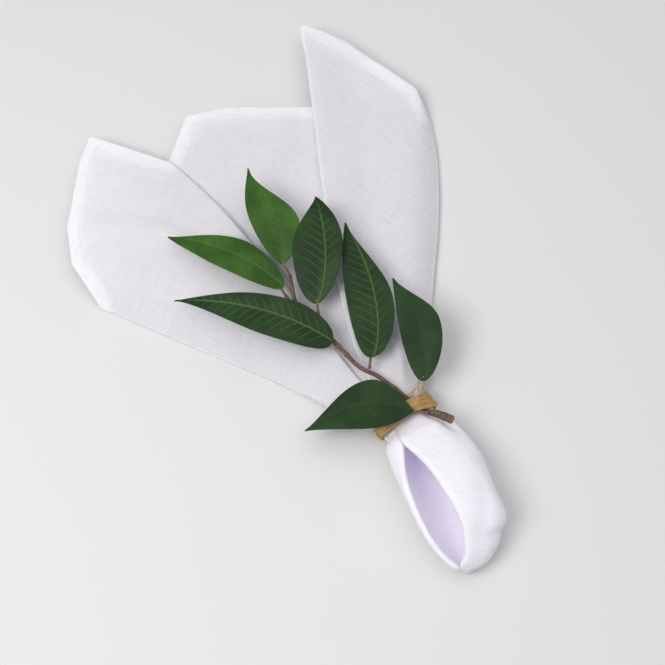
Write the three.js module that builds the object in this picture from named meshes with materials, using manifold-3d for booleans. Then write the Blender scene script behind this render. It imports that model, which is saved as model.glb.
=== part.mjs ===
// A square linen napkin, folded into a fan and pulled by its middle through a ring of raffia
// that also ties in a leafy sprig.
// Millimetres, +Z up, +X across and +Y along the fan. The napkin and the ring lie on the plane z = 0.
// Plan places in the tables are measured from the middle of the ring.
import * as THREE from "three";
import Module from "manifold-3d";
import { mergeVertices } from "three/addons/utils/BufferGeometryUtils.js";

const wasm = await Module();
wasm.setup();

// Driving dimensions
const CLOTH = 1.0;              // thickness of one layer of the fan
const LAYER_PITCH = 1.4;        // rise from one layer to the next
const TOP_LEVEL = 7;            // number of the topmost layer, counted from 0 on the surface
const SCOOP_WALL = 2.4;         // the cloth lies double in the scoop
const RING_WIDTH = 37.6;        // outside, across the gathered cloth
const RING_DEPTH = 20.0;        // outside, upwards
const RING_BAND = 10.0;         // length of the band along the gathered cloth
const RING_ALONG = 1.0;         // the band's middle lies this far towards the fan
const RING_WALL = 1.8;          // thickness of the band
const RING_STRANDS = 6;         // turns of raffia side by side
const RING_GROOVE = 0.35;       // depth of the grooves between them
const RING_SQUARE = 2.5;        // power of the ring's oval; 2 is an ellipse
const RING_BEARING = 36.9;      // direction of the ring's width in plan, degrees from +X
const BUNCH_CENTRE = 8.3;       // height of the middle of the gathered cloth
const BUNCH_HALF = [16.0, 16.0, 5.8]; // half sizes of the gathered cloth: along, across, up
const LEAF_THICK = 0.9;
const STALK_RADIUS = 0.75;
const STALK_END_RADIUS = 0.5;
const STALK_INSIDE = 0.04;      // share of the leaf's length that the stalk runs into it
const SEAT = 0.35;              // gap between a piece and the one that carries it
const SIMPLER = 0.02;           // joined solids drop points nearer than this to their neighbours
const ORIGIN = new THREE.Vector3(73.5, -91.7, 0); // middle of the whole, from the middle of the ring

const RING_TURN = THREE.MathUtils.degToRad(RING_BEARING);
const ACROSS = new THREE.Vector2(Math.cos(RING_TURN), Math.sin(RING_TURN));
const ALONG = new THREE.Vector2(-ACROSS.y, ACROSS.x);

// Folds of the fan, each a smooth line from the ring to the hem.
// waist: place across the ring; near and far: what the line leans towards; end: where it meets the hem.
const FOLDS = {
  leftEdge:    { waist: -9.6, near: [-38, 12], far: [-110, 43], end: [-175, 73] },
  leftBorder:  { waist: -4.5, near: [-32, 20], far: [-95, 128], end: [-141, 165] },
  underLeft:   { waist: -10.5, near: [-29, 26], far: [-102, 78], end: [-155, 111] },
  underRight:  { waist: 10.5, near: [-4, 45], far: [0, 140], end: [-8, 190] },
  tipBorder:   { waist: -3.0, near: [-40, 36], far: [-42, 140], end: [-59, 267] },
  rightEdge:   { waist: 12.4, near: [6, 40], far: [34, 140], end: [19, 203] },
  hiddenLeftA: { waist: -11.0, near: [-32, 22], far: [-101, 66], end: [-154, 98] },
  hiddenRightA: { waist: 11.5, near: [0, 45], far: [8, 140], end: [-4, 189] },
  hiddenLeftB: { waist: -10.6, near: [-32, 22], far: [-101, 67], end: [-155, 100] },
  hiddenRightB: { waist: 11.2, near: [0, 45], far: [6, 142], end: [-6, 190] },
};

// Panels between one fold and the next, in the order of the cloth. level: layer; step: largest column
// of the mesh; hem: turns of the hem between the two folds. A panel that sinks has sinkFrom or sinkTo,
// how far it sinks to its first or to its second fold; reach, the width of that slope at the hem; and
// over, the share of the panel with closer columns for it.
const LEVEL_PANEL = { sinkFrom: 0, sinkTo: 0, reach: 0, over: 0 };
const PANELS = [
  { from: "leftEdge", to: "leftBorder", level: 7, step: 24, sinkFrom: 7.8, reach: 42, over: 0.36,
    hem: [[-191, 95], [-196, 119], [-193, 165], [-189, 184]] },
  { from: "leftBorder", to: "underLeft", level: 6, step: 30, hem: [] },
  { from: "underLeft", to: "underRight", level: 5, step: 26, hem: [[-131, 201], [-105, 208], [-54, 207]] },
  { from: "underRight", to: "tipBorder", level: 6, step: 32, hem: [] },
  { from: "tipBorder", to: "rightEdge", level: 7, step: 20, sinkTo: 7.0, reach: 25, over: 0.24,
    hem: [[-32, 255], [-7, 236], [12, 220]] },
  { from: "rightEdge", to: "hiddenLeftA", level: 4, step: 45, sinkFrom: 4.2, reach: 17, over: 0.08,
    hem: [[-20, 214], [-62, 197], [-126, 188], [-134, 158], [-166, 148]] },
  { from: "hiddenLeftA", to: "hiddenRightA", level: 3, step: 45,
    hem: [[-164, 144], [-132, 154], [-124, 184], [-62, 194], [-24, 205]] },
  { from: "hiddenRightA", to: "hiddenLeftB", level: 2, step: 45,
    hem: [[-26, 201], [-62, 190], [-120, 180], [-130, 150], [-162, 140]] },
  { from: "hiddenLeftB", to: "hiddenRightB", level: 1, step: 45,
    hem: [[-166, 136], [-130, 146], [-118, 176], [-62, 186], [-28, 200]] },
  { from: "hiddenRightB", to: "leftEdge", level: 0, step: 34,
    hem: [[-30, 197], [-62, 182], [-115, 172], [-128, 142], [-174, 128]] },
].map((panel) => ({ ...LEVEL_PANEL, ...panel }));
const PRESSED = 0.66;           // thickness of a layer in the ring, against its thickness elsewhere
const PRESSED_UNTIL = 0.25;     // row where it is whole again
const FAN_ROWS = [0, 0.04, 0.08, 0.13, 0.19, 0.26, 0.34, 0.43, 0.53, 0.63, 0.73, 0.83, 0.92, 1];
const SINK_NARROWEST = 0.3;     // width of a slope near the ring, against its width at the hem
const FLAT_LEVEL = 4;           // up to this layer the cloth lies flat
const SINK_START = [0.14, 0.52]; // rows between which the sinking begins
const TURN_STEPS = 3;           // points round each fold between the two panels
const SINK_COLUMNS = 4;         // extra columns on each slope
const COLUMN_ROOM = 0.25;       // share of a gap that an extra column leaves on either side
const NEAR_ROW = 0.02;          // how far off the rows lie that give a fold's direction

// Soft rises of the upper layers. place: plan; size: half lengths along and across; bearing of the
// first of them in degrees; rise: height of the top.
const RISES = [
  { name: "tip", place: [-50, 250], size: [45, 22], bearing: 100, rise: 5.0 },
  { name: "roll beside the tip", place: [-42, 130], size: [95, 14], bearing: 98, rise: 3.5 },
  { name: "left flap", place: [-128, 122], size: [70, 26], bearing: 150, rise: 4.0 },
  { name: "left flap, low", place: [-90, 60], size: [60, 12], bearing: 152, rise: 2.5 },
  { name: "middle flap", place: [-92, 170], size: [60, 22], bearing: 110, rise: 2.0 },
  { name: "right flap", place: [2, 120], size: [80, 16], bearing: 92, rise: 2.5 },
];
const RISE_START = [25, 70];    // distances from the ring between which these rises begin
const WAIST_ALONG = 4;          // where the layers leave the gathered cloth, from the ring's middle
const RING_LIFT = 2.6;          // the fan rises to pass over the lower side of the ring
const RING_LIFT_REACH = [10, 45]; // distances from the ring between which that rise fades
const SQUEEZE_REACH = [5, 34];  // distances along the fan between which the oval of the ring fades

// Sections of the scoop from the ring to the toe. left and right: ends of the section in plan;
// bottom and top: heights of the middle of the wall; rim and lip: angles of its two free edges.
const SCOOP = [
  { left: [-11.8, -8.9], right: [11.8, 8.9], bottom: 3.6, top: 12.9, rim: 133, lip: 122 },
  { left: [-9.2, -12.4], right: [14.2, 5.3], bottom: 3.6, top: 13.0, rim: 133, lip: 122 },
  { left: [-10.6, -16.8], right: [19.8, 0.4], bottom: 2.4, top: 18.0, rim: 131, lip: 121 },
  { left: [-10.5, -20.5], right: [25, -4.5], bottom: 1.7, top: 23.5, rim: 130, lip: 119 },
  { left: [-8.3, -28], right: [33.2, -15.5], bottom: 1.2, top: 28, rim: 138, lip: 114 },
  { left: [-5.2, -37], right: [38.8, -27], bottom: 1.2, top: 31.5, rim: 152, lip: 106 },
  { left: [-1, -47], right: [43, -41], bottom: 1.2, top: 33, rim: 163, lip: 100 },
  { left: [5, -60], right: [48.3, -56], bottom: 1.2, top: 31.5, rim: 170, lip: 96 },
  { left: [12.2, -71], right: [45, -67.5], bottom: 1.2, top: 25.5, rim: 173, lip: 94 },
  { left: [20.5, -78.6], right: [38.5, -77.4], bottom: 2.6, top: 17.8, rim: 176, lip: 104 },
  { left: [28.4, -83], right: [28.6, -83], bottom: 8.9, top: 9.1, rim: 176, lip: 168 },
];
const SCOOP_ROWS = [
  0, 0.5, 1, 1.25, 1.5, 1.75, 2, 2.33, 2.67, 3, 3.5, 4, 4.5, 5, 5.6, 6.2, 6.8, 7.4, 7.9, 8.4, 8.8, 9.2,
  9.55, 9.85,
];
const SCOOP_COLUMNS = 24;
const SECTION_POWER = 0.86;     // under 1 makes the sections a little squarer than an ellipse
const TOE = { place: [28.3, -80.6, 8.2], half: [5.2, 2.6, 3.6] };

// The sprig. Each row of a stem is x, y, height, radius.
const MAIN_STEM = [
  [23, -6.0, 24.9, 2.2], [18.2, -3.0, 23.0, 2.2], [14.3, -0.6, 20.3, 2.0], [11.3, 1.4, 16.4, 1.3],
  [7.6, 3.9, 15.1, 1.15], [3.4, 7, 15.5, 1.15], [-2, 11.6, 15.9, 1.2], [-15, 22, 16.4, 1.2],
  [-25, 27.5, 16.2, 1.2], [-33, 36, 15.8, 1.3], [-39, 43, 15.4, 1.4], [-47, 52, 15.2, 1.25],
  [-59, 63, 15.9, 1.15], [-63, 75, 17.2, 1.1], [-64.5, 84, 18.6, 1.0],
];
const SIDE_STEM = [[-56, 60, 15.7, 1.1], [-63, 66.5, 16.4, 1.0], [-66.5, 71, 17.2, 0.95]];

// Leaves. base and tip: x, y, height; stem and joint: the stem that carries the leaf, and the row of it,
// counted from 0, where the stalk sits; left and right, seen from the base: greatest half width, share of
// the length where it lies, and how sharply the side runs out to the tip; round: power of the outline at
// the base; bow: sideways bend to the left; arch: rise of the middle; fold: rise of the edges over the
// midrib; roll: tilt across, degrees.
const LEAVES = [
  { base: [-68.5, 89, 21.3], tip: [-90, 150, 26], stem: MAIN_STEM, joint: 14, left: [9.5, 0.5, 1.1],
    right: [16.5, 0.3, 2.2], round: 0.6, bow: 0, arch: 4, fold: 2.4, roll: 8, colour: 0x3f8f22 },
  { base: [-68, 76, 18.4], tip: [-135, 107.5, 20], stem: SIDE_STEM, joint: 2, left: [11, 0.45, 0.8],
    right: [11, 0.42, 1.5], round: 0.5, bow: -5, arch: 2, fold: 2.0, roll: -6, colour: 0x44902a },
  { base: [-49.2, 65, 19.5], tip: [-50, 129, 29], stem: MAIN_STEM, joint: 11, left: [16, 0.47, 1.2],
    right: [12, 0.48, 0.8], round: 0.5, bow: -3, arch: 5, fold: 2.6, roll: 5, colour: 0x1f4a2a },
  { base: [-18.4, 32, 20.5], tip: [-33, 114, 25], stem: MAIN_STEM, joint: 7.5, left: [12, 0.45, 0.9],
    right: [13.5, 0.33, 1.9], round: 0.4, bow: -4, arch: 2.5, fold: 2.4, roll: 4, colour: 0x1f4a28 },
  { base: [9.5, 17.5, 21.5], tip: [-6.5, 77.5, 26], stem: MAIN_STEM, joint: 5.7, left: [10.5, 0.4, 0.9],
    right: [12, 0.48, 1.9], round: 0.5, bow: -5, arch: 3.5, fold: 1.4, roll: 6, colour: 0x1c452a },
  { base: [-40.5, 41.5, 20.4], tip: [-129, 68, 17], stem: MAIN_STEM, joint: 9.7, left: [13.5, 0.38, 1.3],
    right: [12, 0.26, 1.2], round: 0.36, bow: -5, arch: 4.5, fold: 2.0, roll: -4, colour: 0x1f4a28 },
  { base: [3, 0, 22.2], tip: [-55, -8, 13], stem: MAIN_STEM, joint: 2.25, left: [14, 0.4, 1.0],
    right: [15, 0.32, 1.7], round: 0.9, bow: -7, arch: 3.5, fold: 1.2, roll: -8, colour: 0x265a2e },
];
const LEAF_ROWS = [0, 0.03, 0.09, 0.18, 0.29, 0.41, 0.53, 0.65, 0.77, 0.87, 0.95, 1];
const LEAF_COLUMNS = 4;
const LEAF_BLUNT = 0.35;        // least half width, at the base and at the tip
const LEAF_VEE = [1.5, -0.9];   // rise of a leaf's section from the midrib: straight and curved part

// Finer steps of the round things
const RING_STEPS = 36;
const STRAND_STEPS = 3;
const STEM_SIDES = 8;
const MAIN_STEM_STEPS = 38;
const SHORT_STEM_STEPS = 5;
const STEM_NEAR = 0.05;         // how far off the places lie that give a stem's direction

// Small functions
function clamp01(x) {
  return Math.min(1, Math.max(0, x));
}

function ease(a, b, x) {
  const t = clamp01((x - a) / (b - a));
  return t * t * (3 - 2 * t);
}

function mix(a, b, t) {
  return a + (b - a) * t;
}

function mixPoint(a, b, t) {
  return a.map((value, k) => mix(value, b[k], t));
}

// A smooth curve through the rows of a table, one column at a time
function throughRows(values, place) {
  const last = values.length - 1;
  const k = Math.min(last - 1, Math.floor(place));
  const t = place - k;
  const a = values[Math.max(0, k - 1)];
  const b = values[k];
  const c = values[k + 1];
  const d = values[Math.min(last, k + 2)];
  const square = 2 * a - 5 * b + 4 * c - d;
  const cube = 3 * b - a - 3 * c + d;
  return 0.5 * (2 * b + (c - a) * t + square * t * t + cube * t * t * t);
}

// A closed wall of even or changing thickness about a grid of points. points[row][column];
// half(row, column) is half the thickness; ringed joins the last column to the first.
function wallGeometry(points, half, ringed, floor = -Infinity) {
  const rows = points.length;
  const columns = points[0].length;
  const positions = [];
  const faces = [];
  const at = (row, column) => points[row][ringed ? (column + columns) % columns : column];
  for (const side of [1, -1]) {
    for (let r = 0; r < rows; r++) {
      for (let c = 0; c < columns; c++) {
        const up = at(Math.min(rows - 1, r + 1), c).clone().sub(at(Math.max(0, r - 1), c));
        const left = ringed ? c - 1 : Math.max(0, c - 1);
        const right = ringed ? c + 1 : Math.min(columns - 1, c + 1);
        const over = at(r, right).clone().sub(at(r, left));
        const normal = over.cross(up).normalize();
        const p = at(r, c).clone().addScaledVector(normal, side * half(r, c));
        positions.push(p.x, p.y, Math.max(floor, p.z));
      }
    }
  }
  const back = rows * columns;
  const spans = ringed ? columns : columns - 1;
  for (let r = 0; r < rows - 1; r++) {
    for (let c = 0; c < spans; c++) {
      const a = r * columns + c;
      const b = r * columns + (c + 1) % columns;
      const d = a + columns;
      const e = b + columns;
      faces.push(a, b, e, a, e, d);
      faces.push(back + a, back + e, back + b, back + a, back + d, back + e);
    }
  }
  const edge = (a, b) => faces.push(a, back + b, b, a, back + a, back + b);
  for (let c = 0; c < spans; c++) {
    const next = (c + 1) % columns;
    edge(c, next);
    edge((rows - 1) * columns + next, (rows - 1) * columns + c);
  }
  if (!ringed) {
    for (let r = 0; r < rows - 1; r++) {
      edge((r + 1) * columns, r * columns);
      edge(r * columns + columns - 1, (r + 1) * columns + columns - 1);
    }
  }
  const geometry = new THREE.BufferGeometry();
  geometry.setAttribute("position", new THREE.Float32BufferAttribute(positions, 3));
  geometry.setIndex(faces);
  return geometry;
}

function toSolid(geometry) {
  const bare = geometry.clone();
  bare.deleteAttribute("normal");
  bare.deleteAttribute("uv");
  const merged = mergeVertices(bare, 1e-4);
  const solid = new wasm.Manifold(new wasm.Mesh({
    numProp: 3,
    vertProperties: new Float32Array(merged.attributes.position.array),
    triVerts: new Uint32Array(merged.index.array),
  }));
  if (solid.volume() < 0) {
    throw new Error("a solid is inside out");
  }
  return solid;
}

// The largest body of a solid, without the slivers that a join can leave
function largestBody(solid) {
  const bodies = solid.decompose();
  bodies.sort((a, b) => b.volume() - a.volume());
  const mesh = bodies[0].getMesh();
  const geometry = new THREE.BufferGeometry();
  geometry.setAttribute("position", new THREE.Float32BufferAttribute(mesh.vertProperties, 3));
  geometry.setIndex(Array.from(mesh.triVerts));
  return geometry;
}

// Joins solids and keeps the one body, without any space sealed inside it
function joined(geometries) {
  let whole = toSolid(geometries[0]);
  for (const geometry of geometries.slice(1)) {
    whole = whole.add(toSolid(geometry));
  }
  return largestBody(toSolid(largestBody(whole.simplify(SIMPLER))));
}

function ellipsoid(centre, half, bearing, widthSteps, heightSteps) {
  const geometry = new THREE.SphereGeometry(1, widthSteps, heightSteps);
  geometry.scale(half[0], half[1], half[2]);
  geometry.rotateZ(THREE.MathUtils.degToRad(bearing));
  geometry.translate(centre[0], centre[1], centre[2]);
  return geometry;
}

// The fan. Where the height of the upper layers rises softly:
function softRise(x, y) {
  let rise = 0;
  for (const hill of RISES) {
    const turn = THREE.MathUtils.degToRad(hill.bearing);
    const dx = x - hill.place[0];
    const dy = y - hill.place[1];
    const u = (dx * Math.cos(turn) + dy * Math.sin(turn)) / hill.size[0];
    const v = (dy * Math.cos(turn) - dx * Math.sin(turn)) / hill.size[1];
    rise += hill.rise * Math.exp(-u * u - v * v);
  }
  return rise * ease(RISE_START[0], RISE_START[1], Math.hypot(x, y));
}

function waistPoint(across) {
  return [ACROSS.x * across + ALONG.x * WAIST_ALONG, ACROSS.y * across + ALONG.y * WAIST_ALONG];
}

// A panel's columns: where each meets the hem, and its share of the way from one fold to the next
function panelColumns(panel) {
  const corners = [FOLDS[panel.from].end, ...panel.hem, FOLDS[panel.to].end];
  const lengths = corners.slice(1).map(([x, y], k) => Math.hypot(x - corners[k][0], y - corners[k][1]));
  const whole = lengths.reduce((a, b) => a + b, 0);
  const columns = [];
  let before = 0;
  lengths.forEach((length, k) => {
    const parts = Math.ceil(length / panel.step);
    for (let j = 0; j < parts; j++) {
      const share = (before + length * j / parts) / whole;
      columns.push({ share, hem: mixPoint(corners[k], corners[k + 1], j / parts) });
    }
    before += length;
  });
  columns.push({ share: 1, hem: corners[corners.length - 1] });
  for (let k = 1; k <= SINK_COLUMNS; k++) {
    addColumn(columns, panel.sinkFrom, panel.over * k / SINK_COLUMNS);
    addColumn(columns, panel.sinkTo, 1 - panel.over * k / SINK_COLUMNS);
  }
  return columns;
}

// One more column where a panel sinks, so that its slope is round
function addColumn(columns, sink, share) {
  if (sink === 0) {
    return;
  }
  const k = columns.findIndex((column) => column.share > share);
  const room = (columns[k].share - columns[k - 1].share) * COLUMN_ROOM;
  if (Math.min(share - columns[k - 1].share, columns[k].share - share) < room) {
    return;
  }
  const t = (share - columns[k - 1].share) / (columns[k].share - columns[k - 1].share);
  columns.splice(k, 0, { share, hem: mixPoint(columns[k - 1].hem, columns[k].hem, t) });
}

// The four weights of a cubic curve
function weights(s) {
  return [(1 - s) ** 3, 3 * s * (1 - s) ** 2, 3 * s * s * (1 - s), s ** 3];
}

function foldPoint(fold, s) {
  const points = [waistPoint(fold.waist), fold.near, fold.far, fold.end];
  return [0, 1].map((k) => weights(s).reduce((sum, weight, j) => sum + weight * points[j][k], 0));
}

function panelPoint(panel, column, s) {
  const a = FOLDS[panel.from];
  const b = FOLDS[panel.to];
  const t = column.share;
  const waist = mixPoint(waistPoint(a.waist), waistPoint(b.waist), t);
  const near = mixPoint(a.near, b.near, t);
  const far = mixPoint(a.far, b.far, t);
  const points = [waist, near, far, column.hem];
  const [x, y] = [0, 1].map((k) => weights(s).reduce((sum, weight, j) => sum + weight * points[j][k], 0));
  const distance = Math.hypot(x, y);
  const lift = RING_LIFT * (1 - ease(RING_LIFT_REACH[0], RING_LIFT_REACH[1], distance));
  const height = panel.level * LAYER_PITCH;
  const fromHere = (fold) => {
    const point = foldPoint(FOLDS[fold], s);
    return Math.hypot(x - point[0], y - point[1]);
  };
  const slope = panel.reach * mix(SINK_NARROWEST, 1, s);
  const sunk = (depth, fold) => depth === 0 ? 0 : depth * clamp01(1 - fromHere(fold) / slope) ** 2;
  const deep = sunk(panel.sinkFrom, panel.from) + sunk(panel.sinkTo, panel.to);
  const sink = deep * ease(SINK_START[0], SINK_START[1], s);
  const free = height === 0 ? 0 : 1 - sink / height;
  const rise = softRise(x, y) * free * clamp01((panel.level - FLAT_LEVEL) / (TOP_LEVEL - FLAT_LEVEL));
  return new THREE.Vector3(x, y, CLOTH / 2 + lift + height - sink + rise);
}

// Near the ring the stack of layers takes on the oval of the ring
function squeeze(p) {
  const across = p.x * ACROSS.x + p.y * ACROSS.y;
  const along = p.x * ALONG.x + p.y * ALONG.y;
  const amount = 1 - ease(SQUEEZE_REACH[0], SQUEEZE_REACH[1], along);
  const u = THREE.MathUtils.clamp(across / BUNCH_HALF[1], -1, 1);
  const v = THREE.MathUtils.clamp((p.z - BUNCH_CENTRE) / BUNCH_HALF[2], -1, 1);
  const shrink = mix(1, Math.sqrt(1 - v * v / 2), amount);
  const flatten = mix(1, Math.sqrt(1 - u * u / 2), amount);
  const pulled = across * shrink - across;
  p.x += ACROSS.x * pulled;
  p.y += ACROSS.y * pulled;
  p.z = BUNCH_CENTRE + (p.z - BUNCH_CENTRE) * flatten;
  return p;
}

// Round turn of the cloth from the end of one panel to the start of the next
function turnPoints(first, inner, second, up) {
  const out = first.clone().sub(inner).setZ(0);
  const line = up.clone().setZ(0).normalize();
  out.addScaledVector(line, -out.dot(line)).normalize();
  const radius = (second.z - first.z) / 2;
  const centre = first.clone().add(second).multiplyScalar(0.5);
  const points = [];
  for (let k = 1; k <= TURN_STEPS; k++) {
    const angle = Math.PI * k / (TURN_STEPS + 1);
    const p = centre.clone().addScaledVector(out, Math.abs(radius) * Math.sin(angle));
    p.z -= radius * Math.cos(angle);
    points.push(p);
  }
  return points;
}

function fanGeometry() {
  const columns = PANELS.map(panelColumns);
  const flat = (s) => PANELS.map((panel, k) => columns[k].map((column) => panelPoint(panel, column, s)));
  const rows = FAN_ROWS.map((s) => {
    const here = flat(s);
    const before = flat(Math.max(0, s - NEAR_ROW));
    const after = flat(Math.min(1, s + NEAR_ROW));
    const row = [];
    here.forEach((points, k) => {
      const next = here[(k + 1) % here.length];
      const last = points.length - 1;
      const up = after[k][last].clone().sub(before[k][last]);
      row.push(...points, ...turnPoints(points[last], points[last - 1], next[0], up));
    });
    return row.map(squeeze);
  });
  const half = (row) => CLOTH / 2 * mix(PRESSED, 1, ease(0, PRESSED_UNTIL, FAN_ROWS[row]));
  return wallGeometry(rows, half, true, 0);
}

// The scoop: one section between its two free edges
function scoopSection(place) {
  const column = (pick) => throughRows(SCOOP.map(pick), place);
  const left = [column((row) => row.left[0]), column((row) => row.left[1])];
  const right = [column((row) => row.right[0]), column((row) => row.right[1])];
  const bottom = column((row) => row.bottom);
  const top = column((row) => row.top);
  const rim = THREE.MathUtils.degToRad(column((row) => row.rim));
  const lip = THREE.MathUtils.degToRad(column((row) => row.lip) + 360);
  const round = (value) => Math.sign(value) * Math.abs(value) ** SECTION_POWER;
  const points = [];
  for (let k = 0; k <= SCOOP_COLUMNS; k++) {
    const angle = mix(rim, lip, k / SCOOP_COLUMNS);
    const [x, y] = mixPoint(left, right, (1 + round(Math.cos(angle))) / 2);
    points.push(new THREE.Vector3(x, y, mix(bottom, top, (1 + round(Math.sin(angle))) / 2)));
  }
  return points;
}

function scoopGeometry() {
  const rows = SCOOP_ROWS.map(scoopSection);
  return wallGeometry(rows, () => SCOOP_WALL / 2, false, 0);
}

function napkinGeometry() {
  const bunch = ellipsoid([0, 0, BUNCH_CENTRE], BUNCH_HALF, RING_BEARING + 90, 24, 12);
  const toe = ellipsoid(TOE.place, TOE.half, 0, 10, 6);
  return joined([fanGeometry(), scoopGeometry(), bunch, toe]);
}

// The ring: its band's section, ridged outside, carried round an oval
function ringGeometry() {
  const section = [];
  const outer = RING_STRANDS * STRAND_STEPS;
  const ends = [RING_ALONG - RING_BAND / 2, RING_ALONG + RING_BAND / 2];
  for (let k = 0; k <= outer; k++) {
    const ridge = Math.abs(Math.sin(Math.PI * k / STRAND_STEPS));
    section.push([mix(ends[0], ends[1], k / outer), (ridge - 1) * RING_GROOVE]);
  }
  section.push([ends[1], -RING_WALL], [RING_ALONG, -RING_WALL], [ends[0], -RING_WALL]);
  const half = [RING_WIDTH / 2, RING_DEPTH / 2];
  const powered = (value, power) => Math.sign(value) * Math.abs(value) ** power;
  const positions = [];
  const faces = [];
  for (let k = 0; k < RING_STEPS; k++) {
    const angle = 2 * Math.PI * k / RING_STEPS;
    const u = powered(Math.cos(angle), 2 / RING_SQUARE);
    const v = powered(Math.sin(angle), 2 / RING_SQUARE);
    const q = half[0] * u;
    const z = half[1] * v;
    const outwardQ = powered(u, RING_SQUARE - 1) / half[0];
    const outwardZ = powered(v, RING_SQUARE - 1) / half[1];
    const outward = new THREE.Vector2(outwardQ, outwardZ).normalize();
    for (const [along, out] of section) {
      const across = q + outward.x * out;
      positions.push(ACROSS.x * across + ALONG.x * along, ACROSS.y * across + ALONG.y * along);
      positions.push(Math.max(0, RING_DEPTH / 2 + z + outward.y * out));
    }
  }
  const count = section.length;
  for (let k = 0; k < RING_STEPS; k++) {
    for (let j = 0; j < count; j++) {
      const a = k * count + j;
      const b = k * count + (j + 1) % count;
      const c = (k + 1) % RING_STEPS * count + j;
      const d = (k + 1) % RING_STEPS * count + (j + 1) % count;
      faces.push(a, d, c, a, b, d);
    }
  }
  const geometry = new THREE.BufferGeometry();
  geometry.setAttribute("position", new THREE.Float32BufferAttribute(positions, 3));
  geometry.setIndex(faces);
  return geometry;
}

// A round stem of changing thickness through the rows x, y, height, radius, with flat ends
function stemGeometry(rows, steps) {
  const sides = STEM_SIDES;
  const column = (k, place) => throughRows(rows.map((row) => row[k]), place);
  const at = (place) => new THREE.Vector3(column(0, place), column(1, place), column(2, place));
  const last = rows.length - 1;
  const positions = [];
  const faces = [];
  for (let k = 0; k <= steps; k++) {
    const place = last * k / steps;
    const centre = at(place);
    const radius = column(3, place);
    const before = at(Math.max(0, place - STEM_NEAR));
    const tangent = at(Math.min(last, place + STEM_NEAR)).sub(before).normalize();
    const side = new THREE.Vector3(0, 0, 1).cross(tangent).normalize();
    const top = tangent.clone().cross(side);
    for (let j = 0; j < sides; j++) {
      const angle = 2 * Math.PI * j / sides;
      const p = centre.clone().addScaledVector(side, radius * Math.cos(angle));
      p.addScaledVector(top, radius * Math.sin(angle));
      positions.push(p.x, p.y, p.z);
    }
  }
  for (let k = 0; k < steps; k++) {
    for (let j = 0; j < sides; j++) {
      const a = k * sides + j;
      const b = k * sides + (j + 1) % sides;
      faces.push(a, b, b + sides, a, b + sides, a + sides);
    }
  }
  for (let j = 1; j < sides - 1; j++) {
    faces.push(0, j + 1, j);
    faces.push(steps * sides, steps * sides + j, steps * sides + j + 1);
  }
  const geometry = new THREE.BufferGeometry();
  geometry.setAttribute("position", new THREE.Float32BufferAttribute(positions, 3));
  geometry.setIndex(faces);
  return geometry;
}

// Width of one side of a leaf at a share u of its length, against its greatest width: a power of a sine
// up to the widest place, and a power of a cosine from there to the tip
function leafWidth(u, [, widest, sharp], round) {
  const quarter = Math.PI / 2;
  if (u < widest) {
    return Math.sin(quarter * u / widest) ** round;
  }
  return Math.max(0, Math.cos(quarter * (u - widest) / (1 - widest))) ** sharp;
}

function leafGeometry(leaf) {
  const base = new THREE.Vector3(...leaf.base);
  const tip = new THREE.Vector3(...leaf.tip);
  const axis = tip.clone().sub(base).setZ(0).normalize();
  const side = new THREE.Vector3(-axis.y, axis.x, 0);
  const tilt = Math.tan(THREE.MathUtils.degToRad(leaf.roll));
  const rows = LEAF_ROWS.map((u) => {
    const middle = base.clone().lerp(tip, u);
    const swing = 4 * u * (1 - u);
    middle.addScaledVector(side, leaf.bow * swing);
    middle.z += leaf.arch * swing;
    const points = [];
    for (let k = 0; k <= LEAF_COLUMNS; k++) {
      const w = 1 - 2 * k / LEAF_COLUMNS;
      const outline = w > 0 ? leaf.left : leaf.right;
      const width = leafWidth(u, outline, leaf.round);
      const reach = w * Math.max(LEAF_BLUNT, outline[0] * width);
      const p = middle.clone().addScaledVector(side, reach);
      const vee = LEAF_VEE[0] * Math.abs(w) + LEAF_VEE[1] * w * w;
      p.z += leaf.fold * width * vee - reach * tilt;
      points.push(p);
    }
    return points;
  });
  return wallGeometry(rows, () => LEAF_THICK / 2, false);
}

// A stalk runs from beside its stem, or from the stem's end, into the base of its leaf
function stalkGeometry(leaf) {
  const last = leaf.stem.length - 1;
  const stemAt = (place) => [0, 1, 2, 3].map((k) => throughRows(leaf.stem.map((row) => row[k]), place));
  const [x, y, z, radius] = stemAt(leaf.joint);
  const from = new THREE.Vector3(x, y, z);
  const [nearX, nearY, nearZ] = stemAt(leaf.joint - STEM_NEAR);
  const tangent = from.clone().sub(new THREE.Vector3(nearX, nearY, nearZ)).normalize();
  const inside = new THREE.Vector3(...leaf.base).lerp(new THREE.Vector3(...leaf.tip), STALK_INSIDE);
  inside.z += leaf.arch * 4 * STALK_INSIDE * (1 - STALK_INSIDE);
  const way = inside.clone().sub(from).normalize();
  const slant = Math.abs(way.dot(tangent));
  const beside = (radius + SEAT + STALK_RADIUS * slant) / Math.sqrt(1 - slant * slant);
  const reach = leaf.joint === last ? SEAT + STALK_RADIUS * Math.sqrt(1 - slant * slant) : beside;
  const start = from.clone().addScaledVector(way, reach);
  const middle = start.clone().lerp(inside, 0.5);
  return stemGeometry([
    [...start.toArray(), STALK_RADIUS],
    [...middle.toArray(), STALK_RADIUS],
    [...inside.toArray(), STALK_END_RADIUS],
  ], SHORT_STEM_STEPS);
}

// Colours of the cloth, the raffia, the bark and the leaves
const LINEN = new THREE.MeshStandardMaterial({ color: 0xeeeaf2, roughness: 0.92, metalness: 0 });
const RAFFIA = new THREE.MeshStandardMaterial({ color: 0xc9ab6e, roughness: 0.75, metalness: 0 });
const BARK = new THREE.MeshStandardMaterial({ color: 0x8a7460, roughness: 0.85, metalness: 0 });

const group = new THREE.Group();

function place(name, geometry, material) {
  const mesh = new THREE.Mesh(geometry, material);
  mesh.name = name;
  mesh.position.copy(ORIGIN);
  group.add(mesh);
}

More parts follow.
